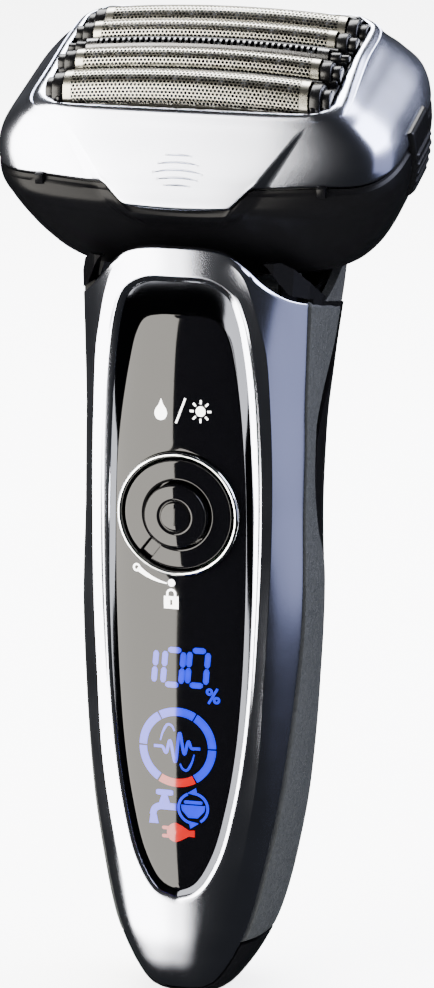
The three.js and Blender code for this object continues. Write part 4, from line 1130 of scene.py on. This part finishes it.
def rim_z(point):
    return 22.3 + (point[..., 1] + 15.6) * 0.1034 - 1.15 * eased((point[..., 1] - 1) / 13)


c = np.concatenate(
    [np.linspace(0, 1, 30)[:-1], [1, 1.08, 1.2, 1.5, 1.8, 1.92], np.linspace(2, 3, 18)[:-1]]
    + [np.linspace(3, 4, 30)[:-1], np.linspace(4, 5, 50)]
)
low, high = np.full(len(c), 10.0), np.full(len(c), 23.0)
for _ in range(12):
    low = 0.5 * low + 0.5 * chin(on_head(column_share(c, low), low))
    high = 0.5 * high + 0.5 * rim_z(on_head(column_share(c, high), high))


def whole_ring(half_points):
    """Both sides from the right half, which runs from front centre to back centre."""
    left = half_points[..., -2:0:-1, :] * [-1, 1, 1]
    return np.concatenate([half_points, left], -2)


def raised(c, z, amount=1.0):
    return -amount * np.clip(2 - c, 0, 1) * np.clip((20.3 - z) / 11.5, 0, 1)


share = np.clip(
    np.concatenate([[0, 0.004, 0.012, 0.025, 0.045], np.linspace(0.07, 0.97, 34), [0.985, 1]]), 0, 1
)
land = 1.0
z = low[None] + share[:, None] * (high - land - low)[None]
u = column_share(c[None] + 0 * z, z)
lip_roll = np.array([0.4, 0.22, 0.1, 0.03] + [0] * (len(share) - 4))[:, None]
rows = [head_in(u, z, raised(c[None], z) + lip_roll)]
top_u = column_share(c, high)
# the opening: a rectangle with cut corners
half_opening = [(0, -15.35), (21.3, -15.35), (24.35, -12.3), (24.35, 12.3), (21.3, 15.35), (0, 15.35)]
half_opening = spread(np.array(half_opening), 2000)
spot = half_opening[(np.clip(top_u, 0, 1) * 1999).astype(int)]
edge = np.concatenate([spot, high[:, None]], 1)
edge[0, 0] = edge[-1, 0] = 0
shoulder = rows[0][-1]
away = edge[:, :2] - shoulder[:, :2]
for f, drop_by in ((0.06, -0.25), (0.3, 0.55), (0.6, 0.97), (0.8, 1.1), (0.9, 1.08), (1.0, 0.95)):
    step = shoulder.copy()
    step[:, :2] += away * f
    step[:, 2] = high - land + land * drop_by * 0.86
    rows.append(step[None])
for z_step, out in ((0.35, 0.0), (15.4, 0.0)):
    step = edge.copy()
    step[:, 2] = high - land * 0.5 if z_step < 1 else z_step
    rows.append(step[None])
under = head_in(column_share(c, low + 0.4), low + 0.4, np.full(len(c), 1.8))
upper = under.copy()
upper[:, 2] = 15.2
inside = on_head(column_share(c, np.full(len(c), 15.2)), np.full(len(c), 15.2))
upper[:, :2] = inside[:, :2] * 0.93
rows += [upper[None], under[None]]
foot_in = head_in(column_share(c, low), low, np.full(len(c), 1.75))
rows += [foot_in[None]]
loop = np.concatenate(rows, 0)
foil_frame = sheet_of(
    "foil_frame_plated", in_head(whole_ring(loop)), close_round=True, close_through=True
)
softened(foil_frame, 33)
foil_frame.data.materials.append(satin)
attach(foil_frame, "foil_frame")
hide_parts("foil_frame")

# Five small ridges, one for each cutting element, are raised on the frame's front.
motif = []
for k, reach in enumerate((2.2, 3.4, 4.2, 3.4, 2.2)):
    middle = 15.9 - k * 1.05
    x = np.linspace(-reach, reach, 25)
    z = middle - 0.5 * (x / 4.2) ** 2
    width = 0.2 * np.sqrt(np.clip(1 - (x / reach) ** 2, 0.02, 1))
    share = np.array([np.sign(a) * share_at(abs(a), b) for a, b in zip(x, z)])
    band = []
    for across, lift in ((-1, 0.1), (-0.6, -0.1), (0, -0.2), (0.6, -0.1), (1, 0.1)):
        zz = z + across * width
        spot = head_in(np.abs(share), zz, raised(0 * zz, zz) + lift)
        band.append(spot * np.stack([np.sign(x), 1 + 0 * x, 1 + 0 * x], -1))
    motif.append(sheet_of("ridge", in_head(np.array(band))))
    modify(motif[-1], "SOLIDIFY", thickness=0.3 * MM, offset=-1)
bpy.ops.object.select_all(action="DESELECT")
for ridge in motif:
    ridge.select_set(True)
bpy.context.view_layer.objects.active = motif[0]
bpy.ops.object.join()
ridges = bpy.context.object
ridges.name = "frame_front_ridges"
softened(ridges, 50)
ridges.data.materials.append(satin)
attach(ridges, "foil_frame")

# The base below the seam: one shell, with a shallow shadow line and two small tabs under the frame.
z_top = low - 0.3
share = np.concatenate([np.linspace(0, 0.93, 34), [0.955, 0.975, 0.985, 1]])
z = -9 + share[:, None] * (z_top + 9)[None]
u = column_share(c[None] + 0 * z, z)
ledge = np.interp(share, [0, 0.02, 0.06, 0.93, 0.955, 0.975, 1], [0.6, 0.2, 0, 0, 0.0, 0.35, 0.45])
rows = [head_in(u, z, ledge[:, None] + raised(c[None], z, 0.75) * eased((z - 3) / 5))]
inner = head_in(u, z, np.full(z.shape, 2.0))
rows.append(inner[::-1][::6])
loop = np.concatenate(rows, 0)
base = sheet_of("head_base_shell", in_head(whole_ring(loop)), close_round=True, close_through=True)
softened(base, 40)
base.data.materials.append(abs_black)
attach(base, "head")
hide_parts("head_base")


def head_block(name, low_corner, high_corner, bevel, material, body, segments=2):
    """A bevelled block in the head's frame."""
    low_corner, high_corner = np.array(low_corner, float), np.array(high_corner, float)
    bpy.ops.object.select_all(action="DESELECT")
    bpy.ops.mesh.primitive_cube_add(size=1)
    block = bpy.context.object
    block.name = name
    bpy.ops.transform.resize(value=tuple((high_corner - low_corner) * MM))
    bpy.ops.object.transform_apply(location=True, rotation=True, scale=True)
    if bevel:
        modify(block, "BEVEL", width=bevel * MM, segments=segments)
    centre = Vector((low_corner + high_corner) / 2) * MM
    block.data.transform(Matrix.Translation(centre))
    block.data.transform(Matrix.Translation(Vector(HEAD_AT) * MM) @ Matrix.Rotation(TILT, 4, "X"))
    softened(block, 40)
    block.data.materials.append(material)
    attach(block, body)
    return block


for side in (-1, 1):
    word = "left" if side < 0 else "right"
    head_block(
        "frame_tab_" + word,
        (side * 23.8 - 0.7, -21.9, 10.4),
        (side * 23.8 + 0.7, -20.4, 12.1),
        0.2,
        abs_black,
        "head",
    )
    head_block(
        "gimbal_lug_" + word,
        (side * 9.6 - 1.2, -2.2, -4.5),
        (side * 9.6 + 1.2, 2.2, 0.7),
        0.3,
        abs_black,
        "head",
    )
floor_ring = []
for f, z in ((0.0, 0.25), (0.5, 0.25), (0.93, 0.25), (0.93, 1.4), (0.5, 1.4), (0.0, 1.4)):
    ring = on_head(np.linspace(0, 1, 60), np.full(60, 0.8)) * [f, f, 1]
    ring[:, 2] = z
    ring[0, 0] = ring[-1, 0] = 0
    floor_ring.append(ring)
floor_plate = sheet_of("head_floor_plate", in_head(whole_ring(np.array(floor_ring))), close_round=True)
softened(floor_plate, 40)
floor_plate.data.materials.append(abs_black)
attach(floor_plate, "head")

# ------------------------------------------------------------------ release buttons
# On each end a ribbed grey button of hard plastic frees the frame. It is pressed inwards.
grey_abs, tree, shader = new_material(
    "ribbed_grey_abs", Base_Color=linear("#1f2123"), Roughness=0.4, IOR=1.52
)
coords = add_node(tree, "ShaderNodeTexCoord")
etch = add_node(
    tree, "ShaderNodeTexNoise", {"Vector": coords.outputs["Object"], "Scale": 3000, "Detail": 2.0}
)
bump = add_node(
    tree, "ShaderNodeBump", {"Height": etch.outputs["Fac"], "Strength": 0.3, "Distance": 0.00004}
)
uneven = add_node(
    tree, "ShaderNodeMapRange", {"Value": etch.outputs["Fac"], "To Min": 0.32, "To Max": 0.48}
)
tree.links.new(bump.outputs["Normal"], shader.inputs["Normal"])
tree.links.new(uneven.outputs["Result"], shader.inputs["Roughness"])


def side_share(y, z):
    row = int(np.clip(round((z + 9) / 0.25), 0, len(HEAD_HEIGHTS) - 1))
    return float(np.interp(y, HEAD_Y[row], HEAD_ROUND))


def closed_quilt(name, outer, inner):
    """Two facing grids joined round their borders."""
    piece = sheet_of(name, np.concatenate([outer, inner[::-1]], 0), close_through=True)
    bpy.ops.object.select_all(action="DESELECT")
    piece.select_set(True)
    bpy.context.view_layer.objects.active = piece
    bpy.ops.object.mode_set(mode="EDIT")
    bpy.ops.mesh.select_all(action="DESELECT")
    bpy.ops.mesh.select_non_manifold()
    bpy.ops.mesh.edge_face_add()
    bpy.ops.mesh.select_all(action="SELECT")
    bpy.ops.mesh.normals_make_consistent(inside=False)
    bpy.ops.object.mode_set(mode="OBJECT")
    return piece


for side in (-1, 1):
    word = "left" if side < 0 else "right"
    zz = np.linspace(2.05, 13.55, 90)
    yy = np.linspace(-4.45, 5.45, 30)
    u = np.array([[side_share(y, z) for y in yy] for z in zz])
    z = np.repeat(zz[:, None], len(yy), 1)
    edge = np.minimum(np.minimum(z - 2.05, 13.55 - z), np.minimum(yy + 4.45, 5.45 - yy)[None])
    roll = 0.8 - np.sqrt(np.clip(0.64 - np.clip(0.8 - edge, 0, 0.8) ** 2, 0, None))
    ribs = 0.3 * np.clip(np.sin((z - 2.4) * 2 * np.pi / 1.55), -0.35, 0.8)
    ribs *= eased((edge - 0.4) / 0.6) * (z < 9.9)
    outer = head_in(u, z, -0.85 + roll - ribs)
    inner = head_in(u, z, np.full(z.shape, 1.2))
    for grid in (outer, inner):
        grid[..., 0] *= side
    button = closed_quilt("release_button_" + word, in_head(outer), in_head(inner))
    softened(button, 45)
    button.data.materials.append(abs_black)
    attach(button, "release_" + word)
    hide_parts("release_button_" + word)

# ------------------------------------------------------------------ cutting cassette
# A black acetal frame drops into the opening. It carries the five cutting rows between thin bars, with
# rounded clips at both ends of each row, and lifts out for cleaning.
acetal, tree, shader = new_material("black_acetal", Base_Color=linear("#040405"), Roughness=0.26, IOR=1.33)
coords = add_node(tree, "ShaderNodeTexCoord")
flow = add_node(
    tree, "ShaderNodeTexNoise", {"Vector": coords.outputs["Object"], "Scale": 1500, "Detail": 2.0}
)
bump = add_node(
    tree, "ShaderNodeBump", {"Height": flow.outputs["Fac"], "Strength": 0.2, "Distance": 0.00004}
)
uneven = add_node(tree, "ShaderNodeMapRange", {"Value": flow.outputs["Fac"], "To Min": 0.2, "To Max": 0.34})
tree.links.new(bump.outputs["Normal"], shader.inputs["Normal"])
tree.links.new(uneven.outputs["Result"], shader.inputs["Roughness"])

ROWS = (  # name, Y, half-width, crown height
    ("foil_front", -11.55, 3.1, 26.8),
    ("foil_mid_front", -5.05, 2.25, 27.5),
    ("slit_comb", 0.0, 1.4, 26.9),
    ("foil_mid_rear", 5.05, 2.25, 27.5),
    ("foil_rear", 11.55, 3.1, 26.8),
)


def joined_as(name, parts):
    bpy.ops.object.select_all(action="DESELECT")
    for part in parts:
        part.select_set(True)
    bpy.context.view_layer.objects.active = parts[0]
    bpy.ops.object.join()
    whole = bpy.context.object
    whole.name = name
    return whole


def head_prism(name, outline, z0, z1, bevel=0.0):
    """An outline of X and Y in the head's frame, extruded upwards and bevelled."""
    mesh = bpy.data.meshes.new(name)
    mesh.from_pydata([(x * MM, y * MM, z0 * MM) for x, y in outline], [], [range(len(outline))])
    piece = bpy.data.objects.new(name, mesh)
    bpy.context.collection.objects.link(piece)
    bpy.ops.object.select_all(action="DESELECT")
    piece.select_set(True)
    bpy.context.view_layer.objects.active = piece
    bpy.ops.object.mode_set(mode="EDIT")
    bpy.ops.mesh.select_all(action="SELECT")
    bpy.ops.mesh.extrude_region_move(TRANSFORM_OT_translate={"value": (0, 0, (z1 - z0) * MM)})
    bpy.ops.mesh.select_all(action="SELECT")
    bpy.ops.mesh.normals_make_consistent(inside=False)
    bpy.ops.object.mode_set(mode="OBJECT")
    if bevel:
        modify(piece, "BEVEL", width=bevel * MM, segments=3, limit_method="ANGLE")
    piece.data.transform(Matrix.Translation(Vector(HEAD_AT) * MM) @ Matrix.Rotation(TILT, 4, "X"))
    return piece


def head_rod(name, start, end, radius, steps=24, bevel=0.25):
    """A round rod with softened ends, along X, in the head's frame."""
    bpy.ops.object.select_all(action="DESELECT")
    bpy.ops.mesh.primitive_cylinder_add(vertices=steps, radius=radius * MM, depth=(end[0] - start[0]) * MM)
    rod = bpy.context.object
    rod.name = name
    modify(rod, "BEVEL", width=bevel * MM, segments=3, limit_method="ANGLE")
    rod.data.transform(Matrix.Rotation(math.pi / 2, 4, "Y"))
    middle = (Vector(start) + Vector(end)) / 2
    rod.data.transform(Matrix.Translation(middle * MM))
    rod.data.transform(Matrix.Translation(Vector(HEAD_AT) * MM) @ Matrix.Rotation(TILT, 4, "X"))
    return rod


parts = []
for side in (-1, 1):
    corner = [(21, -14.9), (21, 14.9), (21.6, 14.9), (23.9, 12.2), (23.9, -12.2), (21.6, -14.9)]
    outline = [(side * x, y) for x, y in corner]
    parts.append(head_prism("end", outline if side > 0 else outline[::-1], 15.6, 22.9, 0.35))
    rail = [(-21.3, side * 14.3), (21.3, side * 14.3), (21.3, side * 14.9), (-21.3, side * 14.9)]
    parts.append(head_prism("rail", rail, 15.6, 18.6))
    for name, y, half, crown in ROWS:
        # each row's clip: a rounded hood over the foil's end, a smaller knuckle and a filler behind it
        hood = crown - 1.35 - half * 1.02
        thick = half * (0.98 if half > 2 else 0.8)
        parts.append(head_rod("hood", (side * 21.7 - 0.9, y, hood), (side * 21.7 + 0.9, y, hood), thick))
        parts.append(
            head_rod("knuckle", (side * 23.2 - 0.8, y, hood), (side * 23.2 + 0.8, y, hood), thick * 0.7)
        )
        block = [(20.9, y - thick), (20.9, y + thick), (23.6, y + thick), (23.6, y - thick)]
        block = [(side * x, across) for x, across in block]
        parts.append(head_prism("block", block if side < 0 else block[::-1], 19.0, hood, 0.2))
for y0, y1, high in ((-8.2, -7.55, 25.3), (-2.6, -1.75, 26.0), (1.75, 2.6, 26.0), (7.55, 8.2, 25.3)):
    # the bars between the rows follow the foils' bow
    x = np.linspace(-21.4, 21.4, 45)[:, None]
    middle, half = (y0 + y1) / 2, (y1 - y0) / 2
    ys = np.array([-1, -1, -0.8, -0.4, 0.4, 0.8, 1, 1])[None] * half + middle
    zs = np.array([-4.5, -0.25, -0.07, 0, 0, -0.07, -0.25, -4.5])[None] + high - 1.1 * (x / 20.6) ** 2
    x, ys = np.broadcast_arrays(x, ys)
    bow = in_head(np.stack([x, ys, zs], -1))
    ends = [np.repeat(bow[k].mean(0)[None], bow.shape[1], 0)[None] for k in (0, -1)]
    parts.append(sheet_of("bar", np.concatenate([ends[0], bow, ends[1]]), close_round=True))
cassette = joined_as("cutting_cassette", parts)
softened(cassette, 40)
cassette.data.materials.append(acetal)
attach(cassette, "foil_frame")
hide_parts("foil_cassette")

# ------------------------------------------------------------------ perforated foils
# Each foil is a thin electroformed nickel sheet, bent over its blade and bowed along its length. Its
# hexagonal holes are coarser than the real half millimetre, and it is thicker, so that both show.
PITCH, HOLE_SHARE = 0.66, 0.74


def arch_table(half, height, skirt):
    turn = np.linspace(0, np.pi / 2, 200)
    y, z = half * np.sin(turn), height * np.cos(turn) - height
    y, z = np.append(y, y[-1]), np.append(z, z[-1] - skirt)
    run = np.concatenate([[0], np.cumsum(np.hypot(np.diff(y), np.diff(z)))])
    return run, y, z


def over_arch(x, around, y, half, crown, lift=0.0, length=20.6, bow=1.1):
    """Points on a row's arch; around is the distance from its crown line, lift is outwards."""
    run, ys, zs = arch_table(half + lift, (half + lift) * 1.15, 1.9)
    x, around = np.broadcast_arrays(x, around)
    turned_y = np.sign(around) * np.interp(np.abs(around), run, ys)
    turned_z = np.interp(np.abs(around), run, zs)
    return np.stack([x, y + turned_y, crown + lift + turned_z - bow * (x / length) ** 2], -1)


def hexagons(reach_x, reach_around, pitch, open_share):
    """Vertices and faces of a plate of hexagonal cells, each with a hexagonal hole."""
    turn = np.radians(30 + 60 * np.arange(6))
    rim = np.stack([np.cos(turn), np.sin(turn)], -1) * pitch / math.sqrt(3)
    step = pitch * math.sqrt(3) / 2
    vertices, faces = [], []
    lines = int(reach_around / step)
    for j in range(-lines, lines + 1):
        shift = pitch / 2 if j % 2 else 0
        count = int((reach_x - shift) / pitch)
        for i in range(-count, count + (1 if not shift else 0)):
            centre = np.array([i * pitch + shift, j * step])
            first = len(vertices)
            vertices += list(centre + rim) + list(centre + rim * open_share)
            faces += [
                (first + k, first + (k + 1) % 6, first + 6 + (k + 1) % 6, first + 6 + k) for k in range(6)
            ]
    return np.array(vertices), faces


def sheet_from(name, vertices, faces, thickness):
    mesh = bpy.data.meshes.new(name)
    mesh.from_pydata((vertices * MM).tolist(), [], faces)
    piece = bpy.data.objects.new(name, mesh)
    bpy.context.collection.objects.link(piece)
    bpy.ops.object.select_all(action="DESELECT")
    piece.select_set(True)
    bpy.context.view_layer.objects.active = piece
    bpy.ops.object.mode_set(mode="EDIT")
    bpy.ops.mesh.select_all(action="SELECT")
    bpy.ops.mesh.remove_doubles(threshold=0.00001)
    bpy.ops.mesh.normals_make_consistent(inside=False)
    bpy.ops.object.mode_set(mode="OBJECT")
    total = sum((f.normal * f.area for f in piece.data.polygons), Vector())
    if total.z < 0:
        piece.data.flip_normals()
    modify(piece, "SOLIDIFY", thickness=thickness * MM, offset=-1)
    return piece


# Bright electroformed nickel: smooth on the skin side, with faint draw lines along the foil.
nickel_foil, tree, shader = new_material(
    "electroformed_nickel_foil", Base_Color=linear("#a5a298"), Metallic=1.0, Roughness=0.24
)
coords = add_node(tree, "ShaderNodeTexCoord")
stretch = add_node(
    tree, "ShaderNodeMapping", {"Vector": coords.outputs["Object"], "Scale": (80, 2500, 2500)}
)
lines = add_node(
    tree, "ShaderNodeTexNoise", {"Vector": stretch.outputs["Vector"], "Scale": 1.0, "Detail": 2.0}
)
uneven = add_node(
    tree, "ShaderNodeMapRange", {"Value": lines.outputs["Fac"], "To Min": 0.24, "To Max": 0.3}
)
bump = add_node(
    tree, "ShaderNodeBump", {"Height": lines.outputs["Fac"], "Strength": 0.15, "Distance": 0.00002}
)
tree.links.new(uneven.outputs["Result"], shader.inputs["Roughness"])
tree.links.new(bump.outputs["Normal"], shader.inputs["Normal"])

for name, y, half, crown in ROWS:
    if name == "slit_comb":
        continue
    quarter = arch_table(half, half * 1.15, 1.9)[0][-2]
    cells, faces = hexagons(19.6, quarter + 1.0, PITCH, HOLE_SHARE)
    net = sheet_from(name, in_head(over_arch(cells[:, 0], cells[:, 1], y, half, crown)), faces, 0.09)
    around = np.linspace(-quarter - 1.85, quarter + 1.85, 49)
    parts = [net]
    for side in (-1, 1):
        x = np.linspace(side * 19.25, side * 20.6, 4)[:, None]
        strip = in_head(over_arch(x, around[None], y, half, crown, 0.02))
        parts.append(sheet_of("strip", strip))
        skirt = np.linspace(quarter + 0.85, quarter + 1.85, 4)[:, None] * side
        x = np.linspace(-20.4, 20.4, 33)[None]
        parts.append(sheet_of("skirt", in_head(over_arch(x, skirt, y, half, crown, 0.01))))
    for part in parts[1:]:
        total = sum((f.normal * f.area for f in part.data.polygons), Vector())
        outside = part.data.polygons[0]
        middle = Vector(in_head((0, y, crown - 4))) * MM
        if (outside.center - middle).dot(outside.normal) < 0:
            part.data.flip_normals()
        modify(part, "SOLIDIFY", thickness=0.1 * MM, offset=-1)
    foil = joined_as(name + "_net", parts)
    softened(foil, 40)
    foil.data.materials.append(nickel_foil)
    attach(foil, name)
    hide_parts(name)

# ------------------------------------------------------------------ slit comb
# The middle row trims long hairs: a hardened steel comb, bent over its cutter, with open slits
# across its crown and a solid rail along each side.
name, y, half, crown = ROWS[2]
quarter = arch_table(half, half * 1.15, 1.9)[0][-2]
parts = []
around = np.linspace(-1.25, 1.25, 13)
for k in range(38):
    middle = (k - 18.5) * 0.98
    x = middle + np.linspace(-0.17, 0.17, 3)[:, None]
    parts.append(sheet_of("tooth", in_head(over_arch(x, around[None], y, half, crown))))
for side in (-1, 1):
    rail = np.linspace(1.15, quarter + 1.85, 12)[:, None] * side
    x = np.linspace(-20.6, 20.6, 45)[None]
    parts.append(sheet_of("rail", in_head(over_arch(x, rail, y, half, crown))))
    x = np.linspace(side * 18.7, side * 20.6, 5)[:, None]
    parts.append(sheet_of("end", in_head(over_arch(x, around[None], y, half, crown))))
middle = Vector(in_head((0, y, crown - 2.5))) * MM
for part in parts:
    first = part.data.polygons[0]
    here = first.center - middle
    here.x = 0
    if here.dot(first.normal) < 0:
        part.data.flip_normals()
    modify(part, "SOLIDIFY", thickness=0.22 * MM, offset=-1)
comb = joined_as("slit_comb_teeth", parts)
softened(comb, 40)
comb_steel, tree, shader = new_material(
    "hardened_stainless_steel", Base_Color=linear("#6c6c6d"), Metallic=1.0, Roughness=0.25
)
coords = add_node(tree, "ShaderNodeTexCoord")
stretch = add_node(
    tree, "ShaderNodeMapping", {"Vector": coords.outputs["Object"], "Scale": (3000, 120, 120)}
)
lines = add_node(
    tree, "ShaderNodeTexNoise", {"Vector": stretch.outputs["Vector"], "Scale": 1.0, "Detail": 2.0}
)
uneven = add_node(
    tree, "ShaderNodeMapRange", {"Value": lines.outputs["Fac"], "To Min": 0.18, "To Max": 0.36}
)
bump = add_node(
    tree, "ShaderNodeBump", {"Height": lines.outputs["Fac"], "Strength": 0.2, "Distance": 0.00002}
)
tree.links.new(uneven.outputs["Result"], shader.inputs["Roughness"])
tree.links.new(bump.outputs["Normal"], shader.inputs["Normal"])
comb.data.materials.append(comb_steel)
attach(comb, "slit_comb")
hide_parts("slit_comb")

# ------------------------------------------------------------------ shoulder collar, carrier and trimmer
# Moulded pieces whose solids already have the right form: each is copied, merged and given a finish of its
# own; all but the collar also get small moulded edges.
# The collar round the neck gets the satin black ABS finish.


def from_solid(name, node, bevel, angle, material, body):
    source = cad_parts[node]
    piece = bpy.data.objects.new(name, source.data.copy())
    bpy.context.collection.objects.link(piece)
    piece.data.materials.clear()
    bpy.ops.object.select_all(action="DESELECT")
    piece.select_set(True)
    bpy.context.view_layer.objects.active = piece
    bpy.ops.object.mode_set(mode="EDIT")
    bpy.ops.mesh.select_all(action="SELECT")
    bpy.ops.mesh.remove_doubles(threshold=0.000005)
    bpy.ops.mesh.dissolve_limited(angle_limit=math.radians(1))
    bpy.ops.object.mode_set(mode="OBJECT")
    if bevel:
        modify(
            piece, "BEVEL", width=bevel * MM, segments=2, limit_method="ANGLE", angle_limit=math.radians(50)
        )
    softened(piece, angle)
    piece.data.materials.append(material)
    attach(piece, body)
    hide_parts(node)
    return piece


from_solid("neck_collar", "shoulder_collar", 0, 35, abs_black, "handle")
from_solid("trimmer_slide_body", "trimmer_slide", 0.25, 35, grey_abs, "trimmer")
from_solid("trimmer_comb_teeth", "trimmer_comb", 0.06, 35, comb_steel, "trimmer")
from_solid("trimmer_cutter_teeth", "trimmer_cutter", 0.05, 35, comb_steel, "trimmer_cutter")
from_solid("float_carrier_post", "float_carrier", 0.15, 35, grey_abs, "float_carrier")
from_solid("gimbal_ring_body", "gimbal_ring", 0.12, 35, grey_abs, "gimbal_ring")

# ------------------------------------------------------------------ neck
# A black rubber boot closes the handle's top round the head's stem, with a liner inside each
# shoulder, and a grained corner piece above each grip.
neck_grain = pebbled("grained_black_tpe_neck", "#1b1c1d", 0.00008, 0.45)
boot = []
turn = np.linspace(0, 2 * np.pi, 72, endpoint=False)
BOOT = ((1, 108, 0), (1, 117.4, 1), (0.98, 117.9, 1), (0.93, 118.2, 1), (0.6, 118.3, 1), (0.6, 108, 0))
for f, z, rise in BOOT:
    x = 14.2 * f * np.sign(np.cos(turn)) * np.abs(np.cos(turn)) ** 0.7
    y = 13.6 + 6.1 * f * np.sign(np.sin(turn)) * np.abs(np.sin(turn)) ** 0.7
    boot.append(np.stack([x, y, z + rise * np.maximum(y - 9, 0) * 0.16], -1))
boot = sheet_of("neck_boot", np.array(boot), close_round=True, close_through=True)
softened(boot, 40)
boot.data.materials.append(rubber)
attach(boot, "handle")

for side, word in ((-1, "left"), (1, "right")):
    y = np.linspace(-3, 15, 31)
    level = np.full(31, 116.0)
    outer, inner = (
        set_in(round_at_y(y, level), level, depth) * [side, 1, 1] for depth in (1.9, 2.7)
    )
    top = np.interp(y, [-3, 1, 6, 15], [120.2, 119.2, 117.9, 118.2])
    loop = []
    middle = outer * 0.5 + inner * 0.5
    rim = ((outer, 112), (outer, top - 0.2), (middle, top), (inner, top - 0.2), (inner, 112))
    for wall, zs in rim:
        row = wall.copy()
        row[:, 2] = zs
        loop.append(row)
    loop = np.array(loop)
    ends = [np.repeat(loop[:, k].mean(0)[None], 5, 0)[:, None] for k in (0, -1)]
    liner = sheet_of("neck_liner_" + word, np.concatenate([ends[0], loop, ends[1]], 1), close_through=True)
    softened(liner, 40)
    liner.data.materials.append(abs_black)
    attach(liner, "handle")

    t = np.linspace(0, 1, 12)[:, None]
    y = (7 + 9 * t) * (1 - np.linspace(0, 1, 14)[None]) + 18.5 * np.linspace(0, 1, 14)[None]
    z = (1 - t) * (seam_z(y) + 0.1) + t * 121.2
    skins = [set_in(round_at_y(y, z), z, np.full(y.shape, depth)) * [side, 1, 1] for depth in (-0.12, 1.3)]
    corner = closed_quilt("neck_corner_" + word, *skins)
    softened(corner, 40)
    corner.data.materials.append(neck_grain)
    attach(corner, "handle")

# ------------------------------------------------------------------ foot plate and charging inlet
# A black ABS plate closes the foot. Its slot holds the two-pin inlet, a glossier moulding, with
# nickel-plated pins and a silicone seal behind it.
rows = []
FOOT = ((0, 0), (0.55, 0), (0.9, 0), (0.97, 0.08), (1, 0.3), (1, 0.85), (0.9, 0.95), (0, 0.95))
for f, z in FOOT:
    ring = on_handle(np.linspace(0, 1, 90) * SECTION_LENGTH[0], np.full(90, 0.0))
    ring = ring * [1, 1, 0] + [0, -1.6, 0]
    grow = 1 + 0.17 * min(max(z, 0), 0.9)
    ring = ring * [f * grow, f * grow, 1] + [0, 1.6, z]
    ring[0, 0] = ring[-1, 0] = 0
    rows.append(ring)
foot = sheet_of("foot_plate", whole_ring(np.array(rows)), close_round=True)
bpy.ops.object.select_all(action="DESELECT")
bpy.ops.mesh.primitive_cube_add(size=1)
cutter = bpy.context.object
bpy.ops.transform.resize(value=(7.8 * MM, 5.8 * MM, 8 * MM))
bpy.ops.object.transform_apply(location=True, rotation=True, scale=True)
cutter.data.transform(Matrix.Translation(Vector((0, 4.3, 0)) * MM))
modify(cutter, "BEVEL", width=1.2 * MM, segments=4, limit_method="ANGLE")
modify(foot, "BOOLEAN", operation="DIFFERENCE", object=cutter, solver="EXACT")
bpy.data.objects.remove(cutter)
softened(foot, 35)
foot.data.materials.append(abs_black)
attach(foot, "handle")
from_solid("inlet_body", "inlet_socket", 0.12, 35, acetal, "handle")

# ------------------------------------------------------------------ pieces inside, kept as their solids
# The battery cell in its shrink wrap, the board and its screws, the display, the motor and the
# blades: each keeps its own form and gets the finish of the real part.


def finish_for(name, colour, metallic, roughness, scale, depth, spread_by=0.08, stretch_by=(1, 1, 1)):
    """A material whose fine grain, at scale per metre, moves its roughness and its surface a little."""
    material, tree, shader = new_material(
        name, Base_Color=linear(colour), Metallic=metallic, Roughness=roughness
    )
    coords = add_node(tree, "ShaderNodeTexCoord")
    laid = add_node(
        tree,
        "ShaderNodeMapping",
        {"Vector": coords.outputs["Object"], "Scale": tuple(scale * k for k in stretch_by)},
    )
    grain = add_node(
        tree, "ShaderNodeTexNoise", {"Vector": laid.outputs["Vector"], "Scale": 1.0, "Detail": 3.0}
    )
    uneven = add_node(
        tree,
        "ShaderNodeMapRange",
        {"Value": grain.outputs["Fac"], "To Min": roughness - spread_by, "To Max": roughness + spread_by},
    )
    bump = add_node(
        tree, "ShaderNodeBump", {"Height": grain.outputs["Fac"], "Strength": 0.25, "Distance": depth}
    )
    tree.links.new(uneven.outputs["Result"], shader.inputs["Roughness"])
    tree.links.new(bump.outputs["Normal"], shader.inputs["Normal"])
    return material


def refinish(material, *nodes):
    for node in nodes:
        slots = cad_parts[node].material_slots
        if slots:
            for one in slots:
                one.material = material
        else:
            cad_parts[node].data.materials.append(material)


refinish(finish_for("ground_blade_steel", "#26272a", 1.0, 0.42, 900, 0.00002, 0.08, (1, 6, 6)),
         "blade_front", "blade_mid_front", "blade_mid_rear", "blade_rear", "slit_cutter")
refinish(finish_for("nickel_plated_steel", "#b4b2ac", 1.0, 0.28, 2500, 0.00001),
         "battery_tab_bottom", "battery_tab_top", "inlet_pin_left", "inlet_pin_right",
         "board_screw_1", "board_screw_2", "board_screw_3", "board_screw_4")
refinish(finish_for("shrink_wrap_pvc", "#2f6fa8", 0.0, 0.35, 250, 0.00006, 0.06, (1, 1, 8)), "battery_cell")
refinish(finish_for("solder_mask_on_glass_epoxy", "#1d4a2c", 0.0, 0.45, 1800, 0.00003, 0.1), "main_board")
refinish(finish_for("glass_filled_nylon", "#4b4e52", 0.0, 0.55, 1400, 0.00005), "inner_chassis",
         "mover_front", "mover_rear", "power_switch")
refinish(
    finish_for("silicone_rubber", "#26282a", 0.0, 0.62, 2000, 0.00003),
    "button_seal",
    "inlet_seal",
    "drive_deck",
)
refinish(
    finish_for("laminated_silicon_iron", "#55585c", 0.8, 0.45, 700, 0.00006, 0.1, (1, 1, 6)), "stator_core"
)
refinish(
    finish_for("enamelled_copper_wire", "#b06a3a", 1.0, 0.32, 900, 0.0001, 0.08, (5, 1, 1)), "stator_coil"
)
refinish(finish_for("display_cover_film", "#08090b", 0.0, 0.16, 300, 0.00001, 0.04), "display_module")
